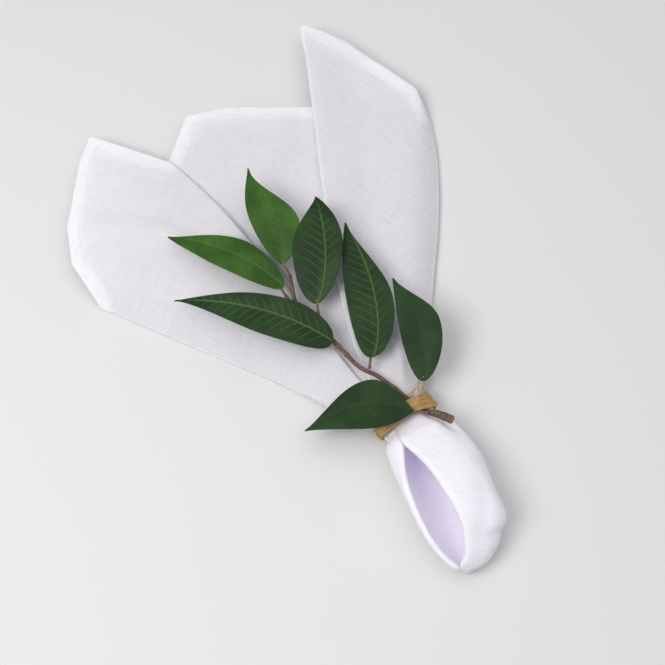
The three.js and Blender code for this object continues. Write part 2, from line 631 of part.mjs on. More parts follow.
place("napkin", napkinGeometry(), LINEN);
place("ring", ringGeometry(), RAFFIA);
const stems = [stemGeometry(MAIN_STEM, MAIN_STEM_STEPS), stemGeometry(SIDE_STEM, SHORT_STEM_STEPS)];
place("twig", joined(stems), BARK);
LEAVES.forEach((leaf, k) => {
  const green = new THREE.MeshStandardMaterial({ color: leaf.colour, roughness: 0.45, metalness: 0 });
  place(`leaf_${k + 1}`, joined([leafGeometry(leaf), stalkGeometry(leaf)]), green);
});

export default group;
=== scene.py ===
"""A white linen napkin, folded into a fan and pulled by its middle through a ring of raffia that also
ties in a leafy sprig. Tables are in millimetres, measured in plan from the middle of the ring."""

import math

import bpy
import numpy as np
from bpy.props import FloatProperty, FloatVectorProperty, IntProperty, PointerProperty
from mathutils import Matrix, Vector


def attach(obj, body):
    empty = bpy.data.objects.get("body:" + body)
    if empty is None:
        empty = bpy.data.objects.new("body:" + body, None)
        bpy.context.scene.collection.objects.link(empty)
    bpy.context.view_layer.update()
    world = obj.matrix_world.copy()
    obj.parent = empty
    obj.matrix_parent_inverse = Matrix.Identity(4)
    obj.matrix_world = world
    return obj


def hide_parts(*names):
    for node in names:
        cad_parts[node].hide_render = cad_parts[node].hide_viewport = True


bl_info = {
    "name": "Linen napkin in a ring",
    "version": (1, 0, 0),
    "blender": (4, 5, 0),
    "location": "3D View > Sidebar > Napkin",
    "description": "Builds a folded linen napkin held by a raffia ring with a leafy sprig",
    "category": "Object",
}

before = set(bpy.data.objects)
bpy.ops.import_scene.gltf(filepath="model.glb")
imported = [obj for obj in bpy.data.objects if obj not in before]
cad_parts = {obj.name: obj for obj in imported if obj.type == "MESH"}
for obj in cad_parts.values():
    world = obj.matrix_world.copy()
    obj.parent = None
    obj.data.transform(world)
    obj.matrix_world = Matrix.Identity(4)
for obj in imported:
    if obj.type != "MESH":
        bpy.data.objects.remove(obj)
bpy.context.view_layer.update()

MM = 0.001
ORIGIN = np.array([73.5, -91.7, 0.0])      # middle of the whole, from the middle of the ring
RING_TURN = math.radians(36.9)
ACROSS = np.array([math.cos(RING_TURN), math.sin(RING_TURN)])
ALONG = np.array([-ACROSS[1], ACROSS[0]])

# The fan
LAYER_PITCH = 1.4
TOP_LEVEL = 7
FLAT_LEVEL = 4
WAIST_ALONG = 4.0
RING_LIFT, RING_LIFT_REACH = 2.6, (10, 45)
SQUEEZE_REACH = (5, 34)
BUNCH_CENTRE, BUNCH_HALF = 8.3, (16.0, 16.0, 5.8)
PRESSED, PRESSED_UNTIL = 0.8, 0.25
SINK_NARROWEST, SINK_START = 0.3, (0.14, 0.52)
RISE_START = (25, 70)

# Folds: place across the ring, what the line leans towards near and far, and its end at the hem.
FOLDS = {
    "leftEdge": (-9.6, (-38, 12), (-110, 43), (-175, 73)),
    "leftBorder": (-4.5, (-32, 20), (-95, 128), (-141, 165)),
    "underLeft": (-10.5, (-29, 26), (-102, 78), (-155, 111)),
    "underRight": (10.5, (-4, 45), (0, 140), (-8, 190)),
    "tipBorder": (-3.0, (-40, 36), (-42, 140), (-59, 267)),
    "rightEdge": (12.4, (6, 40), (34, 140), (19, 203)),
    "hiddenLeftA": (-11.0, (-32, 22), (-101, 66), (-154, 98)),
    "hiddenRightA": (11.5, (0, 45), (8, 140), (-4, 189)),
    "hiddenLeftB": (-10.6, (-32, 22), (-101, 67), (-155, 100)),
    "hiddenRightB": (11.2, (0, 45), (6, 142), (-6, 190)),
}

# Panels between two folds: from, to, layer, column width, sink to the first and to the second fold,
# width of that slope, and the turns of the hem in between.
PANELS = [
    ("leftEdge", "leftBorder", 7, 2.2, 7.8, 0, 42, [(-191, 95), (-196, 119), (-193, 165), (-189, 184)]),
    ("leftBorder", "underLeft", 6, 6, 0, 0, 0, []),
    ("underLeft", "underRight", 5, 3, 0, 0, 0, [(-131, 201), (-105, 208), (-54, 207)]),
    ("underRight", "tipBorder", 6, 8, 0, 0, 0, []),
    ("tipBorder", "rightEdge", 7, 2.2, 0, 7.0, 25, [(-32, 255), (-7, 236), (12, 220)]),
    ("rightEdge", "hiddenLeftA", 4, 10, 4.2, 0, 17,
     [(-20, 214), (-62, 197), (-126, 188), (-134, 158), (-166, 148)]),
    ("hiddenLeftA", "hiddenRightA", 3, 12, 0, 0, 0,
     [(-164, 144), (-132, 154), (-124, 184), (-62, 194), (-24, 205)]),
    ("hiddenRightA", "hiddenLeftB", 2, 12, 0, 0, 0,
     [(-26, 201), (-62, 190), (-120, 180), (-130, 150), (-162, 140)]),
    ("hiddenLeftB", "hiddenRightB", 1, 12, 0, 0, 0,
     [(-166, 136), (-130, 146), (-118, 176), (-62, 186), (-28, 200)]),
    ("hiddenRightB", "leftEdge", 0, 10, 0, 0, 0,
     [(-30, 197), (-62, 182), (-115, 172), (-128, 142), (-174, 128)]),
]
TURN_STEPS = 5
FAN_BREAKS, FAN_STEPS = (0, 0.3, 0.93, 1), (26, 40, 12)
HEM_SWELL = 1.1

# Soft rises of the upper layers: place, half lengths along and across, bearing in degrees, height.
RISES = [
    ((-50, 250), (45, 22), 100, 5.0),
    ((-42, 130), (95, 14), 98, 3.5),
    ((-128, 122), (70, 26), 150, 4.0),
    ((-90, 60), (60, 12), 152, 2.5),
    ((-92, 170), (60, 22), 110, 2.0),
    ((2, 120), (80, 16), 92, 2.5),
]

# Creases: layer, path, half width, height (less than 0 is a trough).
CREASES = [
    (7, [(-196, 123), (-172, 121), (-139, 115), (-112, 98)], 6.0, 3.4),  # pressed line of the left flap
    (7, [(-158, 76), (-128, 86), (-98, 82), (-74, 64)], 14.0, -0.9),  # dip beside its lower border
    (7, [(-187, 180), (-178, 160), (-178, 136)], 8.0, -0.8),  # dip below its corner
    (7, [(-180, 92), (-150, 96), (-120, 92)], 9.0, 1.8),  # swell between the two
    (5, [(-101, 203), (-96, 190), (-104, 172)], 9.0, -0.7),  # dips at the middle flap's hem
    (5, [(-126, 196), (-118, 180)], 8.0, 1.4),
    (5, [(-72, 205), (-74, 186), (-84, 168)], 9.0, 1.6),
    (7, [(-51, 248), (-27, 238), (-2, 220), (9, 204)], 6.0, -0.7),  # inside the right flap's hem
    (7, [(-34, 196), (-30, 140), (-26, 84)], 9.0, 1.5),  # broad swell down the right flap
    (7, [(-12, 74), (-7, 56), (-2, 36), (1, 14)], 3.0, 1.6),  # last fold beside the ring
    (7, [(-62, 44), (-44, 32), (-28, 20)], 6.0, -0.8),
]

# The scoop
# Sections from the ring to the toe: left x, y; right x, y; bottom, top; angles of the two free edges.
SCOOP = np.array([
    (-11.8, -8.9, 11.8, 8.9, 3.6, 12.9, 128, 487),
    (-9.2, -12.4, 14.2, 5.3, 3.2, 16.5, 128, 487),
    (-10.6, -16.8, 19.8, 0.4, 2.4, 20.5, 127, 486),
    (-10.5, -20.5, 25.0, -4.5, 1.7, 24.5, 127, 484),
    (-8.3, -28.0, 33.2, -15.5, 1.2, 28.0, 138, 474),
    (-5.2, -37.0, 38.8, -27.0, 1.2, 31.5, 152, 466),
    (-1.0, -47.0, 43.0, -41.0, 1.2, 33.0, 163, 460),
    (5.0, -60.0, 48.3, -56.0, 1.2, 31.5, 170, 456),
    (12.2, -71.0, 45.0, -67.5, 1.2, 25.5, 173, 454),
    (20.5, -78.6, 38.5, -77.4, 2.6, 17.8, 176, 464),
    (28.4, -83.0, 28.6, -83.0, 8.9, 9.1, 176, 528),
])
SCOOP_END = 9.9
SCOOP_STEPS, SCOOP_NEAR_TOE, SCOOP_TOE_STEPS, SCOOP_COLUMNS = 74, 8.5, 22, 84
SCOOP_HALF_WALL, RIM_SWELL, RIM_REACH = 0.95, 0.55, (1.0, 5.5)
# Inside the scoop the hem map also marks where the linen gets its painted glow.
NO_HEM, INSIDE = 0.05, -0.05  # what the hem map says where no hem shows, and inside the scoop
SECTION_POWER = 0.86
TOE_PLACE, TOE_HALF = (28.3, -80.6, 8.2), (5.2, 2.6, 3.6)

# Troughs of the scoop: path on its outer face, half width, depth.
SCOOP_TROUGHS = [
    ([(11, 1.5, 15), (15, -0.8, 19), (20, -4, 21.5), (25, -8, 22)], 3.2, 3.4),
    ([(21, -6, 23), (27, -13, 28), (33, -22, 31), (40, -29, 28)], 3.6, 2.2),
    ([(36, -42, 33), (37, -56, 31), (35, -68, 26)], 4.0, 0.9),
    ([(50, -61, 12), (45, -65, 20), (41, -68, 24)], 3.6, 1.6),
    ([(-6, -17, 15), (-2, -21, 23), (0, -26, 26)], 2.2, 0.8),
]

# The ring
RING_WIDTH, RING_DEPTH, RING_BAND, RING_ALONG = 37.6, 20.0, 10.0, 1.0
RING_SQUARE = 2.5
STRAND_STEPS, STRAND_SIDES, STRAND_DEPTH, STRAND_INSET = 180, 14, 0.78, 1.9
STRAY_RADIUS = 0.22

# The sprig: each row of a stem is x, y, height, radius
MAIN_STEM = np.array([
    (23, -6.0, 24.9, 2.2), (18.2, -3.0, 23.0, 2.2), (14.3, -0.6, 20.3, 2.0), (11.3, 1.4, 16.4, 1.3),
    (7.6, 3.9, 15.1, 1.15), (3.4, 7, 15.5, 1.15), (-2, 11.6, 15.9, 1.2), (-15, 22, 16.4, 1.2),
    (-25, 27.5, 16.2, 1.2), (-33, 36, 15.8, 1.3), (-39, 43, 15.4, 1.4), (-47, 52, 15.2, 1.25),
    (-59, 63, 15.9, 1.15), (-63, 75, 17.2, 1.1), (-64.5, 84, 18.6, 1.0),
])
SIDE_STEM = np.array([(-56, 60, 15.7, 1.1), (-63, 66.5, 16.4, 1.0), (-66.5, 71, 17.2, 0.95)])
SEAT = 0.35
STALK_RADIUS, STALK_END_RADIUS, STALK_INSIDE = 0.75, 0.5, 0.04
STEM_KNOTS = [(2.6, 0.16), (6.4, 0.16), (8.9, 0.34), (9.7, 0.42), (10.4, 0.3), (12.0, 0.24), (13.1, 0.16)]

# Leaves: base, tip, stem, joint; left and right, seen from the base: greatest half width, share of the
# length where it lies, and how sharply the side runs out to the tip; roundness at the base, bow, arch,
# fold, roll; shift of the midrib, strength of the veins, skin and stalk.
LEAVES = [
    ((-68.5, 89, 21.3), (-90, 150, 26), "main", 14, (9.5, 0.5, 1.1), (16.5, 0.3, 2.2),
     0.6, 0, 4, 2.4, 8, -5.0, 0.42, "bright", "bark"),
    ((-68, 76, 18.4), (-135, 107.5, 20), "side", 2, (11, 0.45, 0.8), (11, 0.42, 1.5),
     0.5, -5, 2, 2.0, -6, -1.0, 0.38, "bright", "bark"),
    ((-49.2, 65, 19.5), (-50, 129, 29), "main", 11, (16, 0.47, 1.2), (12, 0.48, 0.8),
     0.5, -3, 5, 2.6, 5, -2.6, 0.8, "dark", "bark"),
    ((-18.4, 32, 20.5), (-33, 114, 25), "main", 7.5, (12, 0.45, 0.9), (13.5, 0.33, 1.9),
     0.4, -4, 2.5, 2.4, 4, -4.0, 0.8, "dark", "bark"),
    ((9.5, 17.5, 21.5), (-6.5, 77.5, 26), "main", 5.7, (10.5, 0.4, 0.9), (12, 0.48, 1.9),
     0.5, -5, 3.5, 1.4, 6, -1.0, 0.08, "dark", "straw"),
    ((-40.5, 41.5, 20.4), (-129, 68, 17), "main", 9.7, (13.5, 0.38, 1.3), (12, 0.26, 1.2),
     0.36, -5, 4.5, 2.0, -4, -1.0, 0.9, "dark", "bark"),
    ((3, 0, 22.2), (-55, -8, 13), "main", 2.25, (14, 0.4, 1.0), (15, 0.32, 1.7),
     0.9, -7, 3.5, 1.2, -8, 0.0, 0.06, "dark", "bark"),
]
LEAF_BLUNT, LEAF_VEE = 0.35, (1.5, -0.9)
BLADE_ROWS, BLADE_COLUMNS, STALK_SIDES, STEM_SIDES = 60, 25, 12, 16


# Small functions
def ease(a, b, x):
    """A smooth step from 0 at a to 1 at b."""
    t = np.clip((np.asarray(x, float) - a) / (b - a), 0, 1)
    return t * t * (3 - 2 * t)


def through_rows(rows, places):
    """A smooth curve through the rows of a table (Catmull-Rom), for an array of places between them."""
    rows = np.asarray(rows, float)
    places = np.asarray(places, float)
    last = len(rows) - 1
    k = np.clip(np.floor(places).astype(int), 0, last - 1)
    t = (places - k)[:, None]
    a, b, c, d = (rows[np.clip(k + j, 0, last)] for j in (-1, 0, 1, 2))
    square = 2 * a - 5 * b + 4 * c - d
    cube = 3 * b - a - 3 * c + d
    return 0.5 * (2 * b + (c - a) * t + square * t ** 2 + cube * t ** 3)


def unit(vectors):
    """The same directions with a length of 1."""
    length = np.linalg.norm(vectors, axis=-1, keepdims=True)
    return vectors / np.maximum(length, 1e-9)


def lengths_to(points):
    """How far along a row of points each of them lies."""
    return np.concatenate([[0], np.cumsum(np.linalg.norm(np.diff(points, axis=0), axis=1))])


def squared(wave, power):
    """A sine or cosine raised to a power with its sign kept, which makes an oval squarer."""
    return np.sign(wave) * np.abs(wave) ** power


def along_path(points, path):
    """Distance of each point in plan from a path of straight pieces, and how far along it is nearest."""
    path = np.asarray(path, float)
    starts = lengths_to(path)
    best = np.full(points.shape[:-1], 1e9)
    place = np.zeros(points.shape[:-1])
    for a, b, start in zip(path, path[1:], starts):
        length = np.linalg.norm(b - a)
        t = np.clip(((points - a) @ (b - a)) / length ** 2, 0, 1)
        d = np.linalg.norm(points - (a + t[..., None] * (b - a)), axis=-1)
        place = np.where(d < best, start + t * length, place)
        best = np.minimum(best, d)
    return best, place


def ripple(x, y, size, seed):
    """Slow waves over the plan, the mean of six sines of different bearing: always the same."""
    total = 0
    for k in range(6):
        turn = 2.4 * k + seed
        wave = size * (0.7 + 0.17 * k)
        way = x * math.cos(turn) + y * math.sin(turn)
        total = total + np.sin(way * 2 * math.pi / wave + 1.7 * k * seed)
    return total / 6


class Form:
    """Collects the points, faces, finishes and face-corner maps of one piece."""

    def __init__(self):
        self.points, self.faces, self.finish = [], [], []
        self.maps = {}
        self.count = 0

    def add(self, points, faces, finish=0, **maps):
        """Adds points (n, 3) in mm and faces (m, 3 or 4), turned round where they face inwards.

        Each map holds (m, 3 or 4, 2) values. The number of the first point comes back, and -1 where the
        faces were turned, else 1."""
        points = np.asarray(points, float).reshape(-1, 3)
        corners = points[faces]
        middle = points.mean(0)
        volume = 0
        for k in range(1, faces.shape[1] - 1):
            fan = np.cross(corners[:, k] - corners[:, 0], corners[:, k + 1] - corners[:, 0])
            volume += np.einsum("ij,ij->", corners[:, 0] - middle, fan)
        first, way = self.count, -1 if volume < 0 else 1
        self.points.append(points)
        self.faces.append(faces[:, ::way] + first)
        self.finish.append(np.full(len(faces), finish))
        for name in {**self.maps, **maps}:
            done = self.maps.setdefault(name, [np.zeros((f.size, 2)) for f in self.faces[:-1]])
            values = maps.get(name, np.zeros((*faces.shape, 2)))
            done.append(values[:, ::way].reshape(-1, 2))
        self.count += len(points)
        return first, way

    def close(self, added, caps, finish=0, value=0.0, **at_points):
        """Closes what add() has just added with faces between its points, numbered from its first one.

        Their maps hold the values given at those points, or else one value."""
        first, way = added
        for cap in caps:
            cap = cap[:, ::way]
            self.faces.append(cap + first)
            self.finish.append(np.full(len(cap), finish))
            for name, done in self.maps.items():
                given = at_points.get(name)
                done.append(np.full((cap.size, 2), value) if given is None else given[cap].reshape(-1, 2))

    def make(self, name, materials):
        """Puts the piece into Blender, in metres and in the frame of the whole."""
        mesh = bpy.data.meshes.new(name)
        points = (np.concatenate(self.points) + ORIGIN) * MM
        faces = [face for group in self.faces for face in group.tolist()]
        mesh.from_pydata(points, [], faces)
        for key, values in self.maps.items():
            layer = mesh.uv_layers.new(name=key)
            layer.data.foreach_set("uv", np.concatenate(values).ravel().astype(np.float32))
        mesh.polygons.foreach_set("material_index", np.concatenate(self.finish).astype(np.int32))
        mesh.polygons.foreach_set("use_smooth", np.ones(len(faces), bool))
        for material in materials:
            mesh.materials.append(material)
        mesh.validate()
        mesh.update()
        piece = bpy.data.objects.new(name, mesh)
        bpy.context.scene.collection.objects.link(piece)
        return piece


def grid_faces(rows, columns, closed_rows, closed_columns):
    """Faces of a grid, as point numbers (n, 4), and as row and column before the grid closes."""
    r = np.arange(rows if closed_rows else rows - 1)
    c = np.arange(columns if closed_columns else columns - 1)
    r, c = (x.ravel() for x in np.meshgrid(r, c, indexing="ij"))
    row = np.stack([r, r, r + 1, r + 1], 1)
    column = np.stack([c, c + 1, c + 1, c], 1)
    return row % rows * columns + column % columns, row, column


def both_sides(points, half, ringed, floor=None):
    """Offsets a grid of points (rows, columns, 3) by half a thickness to either side of its surface.

    The surface's direction is the cross product of its slopes along the columns and along the rows."""
    along = np.gradient(points, axis=0)
    if ringed:
        over = np.roll(points, -1, axis=1) - np.roll(points, 1, axis=1)
    else:
        over = np.gradient(points, axis=1)
    normal = unit(np.cross(over, along))
    outer = points + normal * half[..., None]
    inner = points - normal * half[..., None]
    if floor is not None:
        outer[..., 2] = np.maximum(outer[..., 2], floor)
        inner[..., 2] = np.maximum(inner[..., 2], floor)
    return outer, inner


def round_ends(rows, sides):
    """Triangles from the first and the last circle of a grid to the two points that follow the grid."""
    k = np.arange(sides)
    n = rows * sides
    start = np.stack([(k + 1) % sides, k, np.full(sides, n)], 1)
    end = np.stack([k + n - sides, (k + 1) % sides + n - sides, np.full(sides, n + 1)], 1)
    return start, end


def tube(path, radius, sides):
    """A closed round tube: circles across a path (n, 3), with a point at either end."""
    tangent = unit(np.gradient(path, axis=0))
    side = unit(np.cross((0, 0, 1), tangent))
    top = np.cross(tangent, side)
    angle = np.linspace(0, 2 * np.pi, sides, endpoint=False)
    radius = np.broadcast_to(np.asarray(radius, float), len(path))[:, None, None]
    ring = (side[:, None] * np.cos(angle)[:, None] + top[:, None] * np.sin(angle)[:, None]) * radius
    points = np.concatenate([(path[:, None] + ring).reshape(-1, 3), path[:1], path[-1:]])
    faces, row, column = grid_faces(len(path), sides, False, True)
    length = lengths_to(path)
    around = 2 * np.pi * radius.mean() * np.arange(sides + 1) / sides
    fibre = np.stack([length[row], around[column]], -1) * MM
    return points, faces, fibre, round_ends(len(path), sides)


def add_tube(form, path, radius, sides, end_finish=0):
    """Adds a tube whose two ends may have a finish of their own."""
    points, faces, fibre, ends = tube(path, radius, sides)
    added = form.add(points, faces, fibre=fibre)
    form.close(added, ends, end_finish, fibre=points[:, :2] * MM)


def wall(outer, inner, edges):
    """A closed wall: the outer grid, one edge, the inner grid backwards and the other edge, row by row.

    Points, faces, end faces, and for each face corner its row, its column and its place in the loop."""
    shell = np.concatenate([outer, edges[0][:, None], inner[:, ::-1], edges[1][:, None]], axis=1)
    shell[..., 2] = np.maximum(shell[..., 2], 0)
    n = outer.shape[1] - 1
    faces, row, place = grid_faces(len(shell), shell.shape[1], False, True)
    column = np.concatenate([np.arange(n + 1), [n], np.arange(n + 1)[::-1], [0], [0]])[place]
    k = np.arange(n)
    strip = np.stack([k, k + 1, 2 * n + 1 - k, 2 * n + 2 - k], 1)
    tips = np.array([[n, n + 1, n + 2], [2 * n + 2, 2 * n + 3, 0]])
    last = (len(shell) - 1) * shell.shape[1]
    caps = strip + last, tips + last, strip[:, ::-1], tips[:, ::-1]
    return shell, faces, caps, row, column, place


# Materials
class Value:
    """A number in a material; the operators add the Math nodes that work it out."""

    def __init__(self, paint, socket):
        self.paint, self.socket = paint, socket

    def math(self, operation, *terms):
        return self.paint.node("ShaderNodeMath", {"operation": operation}, dict(enumerate(terms)))

    def __add__(self, other):
        return self.math("ADD", self, other)

    def __sub__(self, other):
        return self.math("SUBTRACT", self, other)

    def __rsub__(self, other):
        return self.math("SUBTRACT", other, self)

    def __mul__(self, other):
        return self.math("MULTIPLY", self, other)

    def __truediv__(self, other):
        return self.math("DIVIDE", self, other)

    def __pow__(self, other):
        return self.math("POWER", self, other)

    def __abs__(self):
        return self.math("ABSOLUTE", self)

    __radd__, __rmul__ = __add__, __mul__

    def sine(self):
        return self.math("SINE", self)

    def floor(self):
        return self.math("FLOOR", self)

    def fraction(self):
        return self.math("FRACT", self)

    def at_most(self, other):
        return self.math("MINIMUM", self, other)

    def at_least(self, other):
        return self.math("MAXIMUM", self, other)

    def step(self, a, b):
        """A smooth step from 0 at a to 1 at b."""
        return self.paint.node(
            "ShaderNodeMapRange", {"interpolation_type": "SMOOTHSTEP"},
            {"Value": self, "From Min": a, "From Max": b, "To Min": 0.0, "To Max": 1.0})


class Paint:
    """One material and the nodes in front of its shader."""

    def __init__(self, name, **constants):
        self.material = bpy.data.materials.new(name)
        self.material.use_nodes = True
        self.tree = self.material.node_tree
        self.shader = self.tree.nodes["Principled BSDF"]
        for key, value in constants.items():
            self.shader.inputs[key.replace("_", " ")].default_value = value

    def node(self, kind, settings=None, inputs=None, output=0):
        """Adds a node: its settings first, then the values or links of its sockets."""
        node = self.tree.nodes.new(kind)
        for key, value in (settings or {}).items():
            setattr(node, key, value)
        for key, value in (inputs or {}).items():
            self.put(value, node.inputs[key])
        return Value(self, node.outputs[output])

    def put(self, value, socket):
        if isinstance(value, Value):
            self.tree.links.new(value.socket, socket)
        elif hasattr(value, "__len__") and len(value) == 3 and len(socket.default_value) == 4:
            socket.default_value = (*value, 1)
        else:
            socket.default_value = value

    def mix(self, factor, a, b):
        """A colour between a and b."""
        return self.node("ShaderNodeMix", {"data_type": "RGBA"}, {0: factor, 6: a, 7: b}, 2)

    def noise(self, vector, scale, detail=2.0, roughness=0.5):
        return self.node("ShaderNodeTexNoise", None, {
            "Vector": vector, "Scale": scale, "Detail": detail, "Roughness": roughness})

    def stretched(self, vector, scale):
        """The same place with each axis multiplied by its own number."""
        return self.node("ShaderNodeVectorMath", {"operation": "MULTIPLY"}, {0: vector, 1: scale})

    def map(self, name):
        return self.node("ShaderNodeUVMap", {"uv_map": name})

    def parts(self, vector):
        node = self.tree.nodes.new("ShaderNodeSeparateXYZ")
        self.tree.links.new(vector.socket, node.inputs[0])
        return [Value(self, node.outputs[k]) for k in range(3)]

    def place(self):
        return self.node("ShaderNodeTexCoord", None, None, "Object")

    def finish(self, colour, roughness=None, height=None, depth=0.0001):
        self.put(colour, self.shader.inputs["Base Color"])
        if roughness is not None:
            self.put(roughness, self.shader.inputs["Roughness"])
        if height is not None:
            bump = self.node("ShaderNodeBump", None, {"Strength": 1.0, "Distance": depth, "Height": height})
            self.put(bump, self.shader.inputs["Normal"])
        return self.material


def shaded(colour, factor):
    """A colour made darker or lighter."""
    return tuple(min(1, c * factor) for c in colour)


def linen(settings):
    """White linen: threads of uneven thickness over and under each other, a stitched hem, and
    inside the scoop a painted glow, an emission that stands in for the cool light through the thin cloth."""
    paint = Paint("linen", Roughness=0.9, Sheen_Weight=0.1, Sheen_Roughness=0.5, Specular_IOR_Level=0.15,
                  Subsurface_Weight=0.6, Subsurface_Scale=0.004, Subsurface_Radius=(1.0, 1.0, 1.0),
                  Emission_Strength=1.0)
    threads = paint.map("threads")
    u, v, _ = paint.parts(threads)
    pitch = settings.thread_pitch
    warp = abs((u * (math.pi / pitch)).sine())
    weft = abs((v * (math.pi / pitch)).sine())
    odd = ((u / pitch).floor() + (v / pitch).floor()) * 0.5
    odd = (odd.fraction() * 2.0).step(0.4, 0.6)
    over = warp ** 0.5 * (1 - odd) + weft ** 0.5 * odd
    weave = over * (warp * weft) ** 0.35
    slub_u = paint.noise(paint.stretched(threads, (900, 55, 1)), 1.0, 3.0, 0.6)
    slub_v = paint.noise(paint.stretched(threads, (55, 900, 1)), 1.0, 3.0, 0.6)
    slubs = slub_u + slub_v - 1.0
    hem_distance, hem_along, _ = paint.parts(paint.map("hem"))
    line = abs(hem_distance - settings.hem_width * 0.82)
    seam = 1 - line.step(0.0002, 0.0009)
    gap = abs((hem_along / 0.0026).fraction() - 0.5).step(0.30, 0.42)
    stitched = seam * (1 - gap * 0.7)
    cloud = paint.noise(paint.place(), 38.0, 2.0, 0.5)
    light = settings.cloth_colour
    # Thread colour: darker and cooler where slubs and the slow cloud run low, a tone that differs at random,
    # plus painted shade in the gaps between threads from the weave.
    dim_thread_and_shade = tuple(c * f for c, f in zip(light, (0.91, 0.915, 0.93)))
    bright = (slubs * 1.6 + weave * 0.35 + (cloud - 0.5) * 0.5 + 0.35).step(0.0, 1.0)
    colour = paint.mix(bright, dim_thread_and_shade, light)
    # Painted shade along the stitched line: the groove of the stitches is darkened in the colour as well as
    # pressed into the bump.
    colour = paint.mix(stitched * 0.3, colour, shaded(light, 0.78))
    height = weave * 0.6 + slubs * 0.55 - stitched * 0.8
    # Painted glow: inside the scoop, where the hem map is below zero, the cloth emits a cool colour in place
    # of light through the thin cloth.
    inside = 1 - hem_distance.step(-0.04, -0.02)
    painted_glow = paint.mix(inside, (0.0, 0.0, 0.0), settings.painted_inside_glow)
    paint.put(painted_glow, paint.shader.inputs["Emission Color"])
    return paint.finish(colour, None, height, 0.00016)


def raffia(settings):
    """Straw-coloured raffia: long fibres of changing colour along each strand."""
    paint = Paint("raffia", Roughness=0.62, Specular_IOR_Level=0.35)
    fibre = paint.map("fibre")
    lines = paint.noise(paint.stretched(fibre, (60, 2600, 1)), 1.0, 4.0, 0.65)
    slow = paint.noise(paint.place(), 260.0, 2.0, 0.5)
    base = settings.raffia_colour
    dark = shaded(base, 0.42)
    pale = shaded(base, 1.35)
    colour = paint.mix(lines.step(0.3, 0.62), dark, base)
    colour = paint.mix(slow.step(0.45, 0.75) * 0.7, colour, pale)
    return paint.finish(colour, None, lines, 0.00035)


def bark(settings):
    """Grey-brown bark, streaked along the stem."""
    paint = Paint("bark", Roughness=0.72, Specular_IOR_Level=0.3)
    fibre = paint.map("fibre")
    streaks = paint.noise(paint.stretched(fibre, (140, 1300, 1)), 1.0, 4.0, 0.6)
    spots = paint.noise(paint.place(), 420.0, 3.0, 0.6)
    base = settings.bark_colour
    colour = paint.mix(streaks.step(0.35, 0.65), shaded(base, 0.5), base)
    colour = paint.mix(spots.step(0.56, 0.7) * 0.6, colour, shaded(base, 1.9))
    return paint.finish(colour, None, streaks + spots * 0.6, 0.0003)


def cut_wood(settings):
    """The pale end where the stem was cut."""
    paint = Paint("cut_wood", Roughness=0.8, Specular_IOR_Level=0.2)
    grain = paint.noise(paint.place(), 900.0, 3.0, 0.6)
    base = settings.cut_colour
    colour = paint.mix(grain.step(0.35, 0.65), shaded(base, 0.6), base)
    return paint.finish(colour, None, grain, 0.0002)


def leaf_skin(name, settings, base, vein, strength):
    """A leaf's blade: a waxy skin with a pale midrib and side veins that run towards the tip."""
    paint = Paint(name, Specular_IOR_Level=0.22)
    length, across, _ = paint.parts(paint.map("blade"))
    side = abs(across)
    half, run, _ = paint.parts(paint.map("edge"))
    spacing = settings.vein_spacing
    ribs = (length - side * 0.85 + side * side * 12.0) / spacing
    ribs = abs((ribs + across.step(-0.0001, 0.0001) * 0.42).fraction() - 0.5)
    width = 0.085 - half.at_most(1.0) * 0.04
    lateral = (1 - ribs.step(0.015, width)) * (1 - half.step(0.45, 0.92))
    lateral = lateral * run.step(0.0, 0.07) * (1 - run.step(0.86, 0.97))
    midrib = (1 - side.step(0.0002, 0.0007)) * (1 - run.step(0.75, 1.0))
    cells = paint.noise(paint.place(), 520.0, 3.0, 0.55)
    cloud = paint.noise(paint.place(), 55.0, 2.0, 0.5)
    dark = shaded(base, 0.72)
    pale = tuple(c * 1.25 + 0.004 for c in base)
    colour = paint.mix(cloud.step(0.3, 0.7), dark, pale)
    colour = paint.mix(cells.step(0.35, 0.75) * 0.35, colour, shaded(base, 0.6))
    veins = (lateral * 0.6).at_least(midrib * 0.7) * strength
    colour = paint.mix(veins.at_most(1.0), colour, vein)
    roughness = 0.46 + cells * 0.16
    height = cells * 0.35 - lateral * 0.8 * min(1.0, strength + 0.3) - midrib * 1.2
    return paint.finish(colour, roughness, height, 0.00012)


def stalk_skin(name, base):
    """The skin of a leaf's stalk."""
    paint = Paint(name, Roughness=0.65, Specular_IOR_Level=0.3)
    fibre = paint.noise(paint.place(), 500.0, 3.0, 0.6)
    colour = paint.mix(fibre.step(0.35, 0.65), shaded(base, 0.7), shaded(base, 1.2))
    return paint.finish(colour, None, fibre, 0.00015)


def plain_floor(colour):
    """A matt floor of one colour, very slightly clouded."""
    paint = Paint("floor", Roughness=0.7, Specular_IOR_Level=0.2)
    cloud = paint.noise(paint.place(), 3.0, 2.0, 0.5)
    return paint.finish(paint.mix(cloud, shaded(colour, 0.99), colour))


# Settings
class ClothSettings(bpy.types.PropertyGroup):
    """Sizes and colours of the cloth"""
    thickness: FloatProperty(
        name="Cloth thickness", description="Thickness of one layer", default=0.0007, unit="LENGTH")
    hem_width: FloatProperty(
        name="Hem width", description="Width of the turned hem", default=0.008, unit="LENGTH")
    # A painted glow: the colour the inside of the scoop emits, standing in for light through its thin wall.
    painted_inside_glow: FloatVectorProperty(
        name="Light through", description="Light that comes through the scoop's thin wall, seen inside it",
        default=(0.065, 0.05, 0.095), size=3, subtype="COLOR", min=0, max=1)
    thread_pitch: FloatProperty(
        name="Thread pitch", description="Distance between threads", default=0.0008, unit="LENGTH")
    unevenness: FloatProperty(
        name="Unevenness", description="Height of the slow waves of the cloth", default=0.0004, unit="LENGTH")
    cloth_colour: FloatVectorProperty(
        name="Cloth colour", description="Colour of the linen", subtype="COLOR", default=(0.93, 0.935, 0.95))


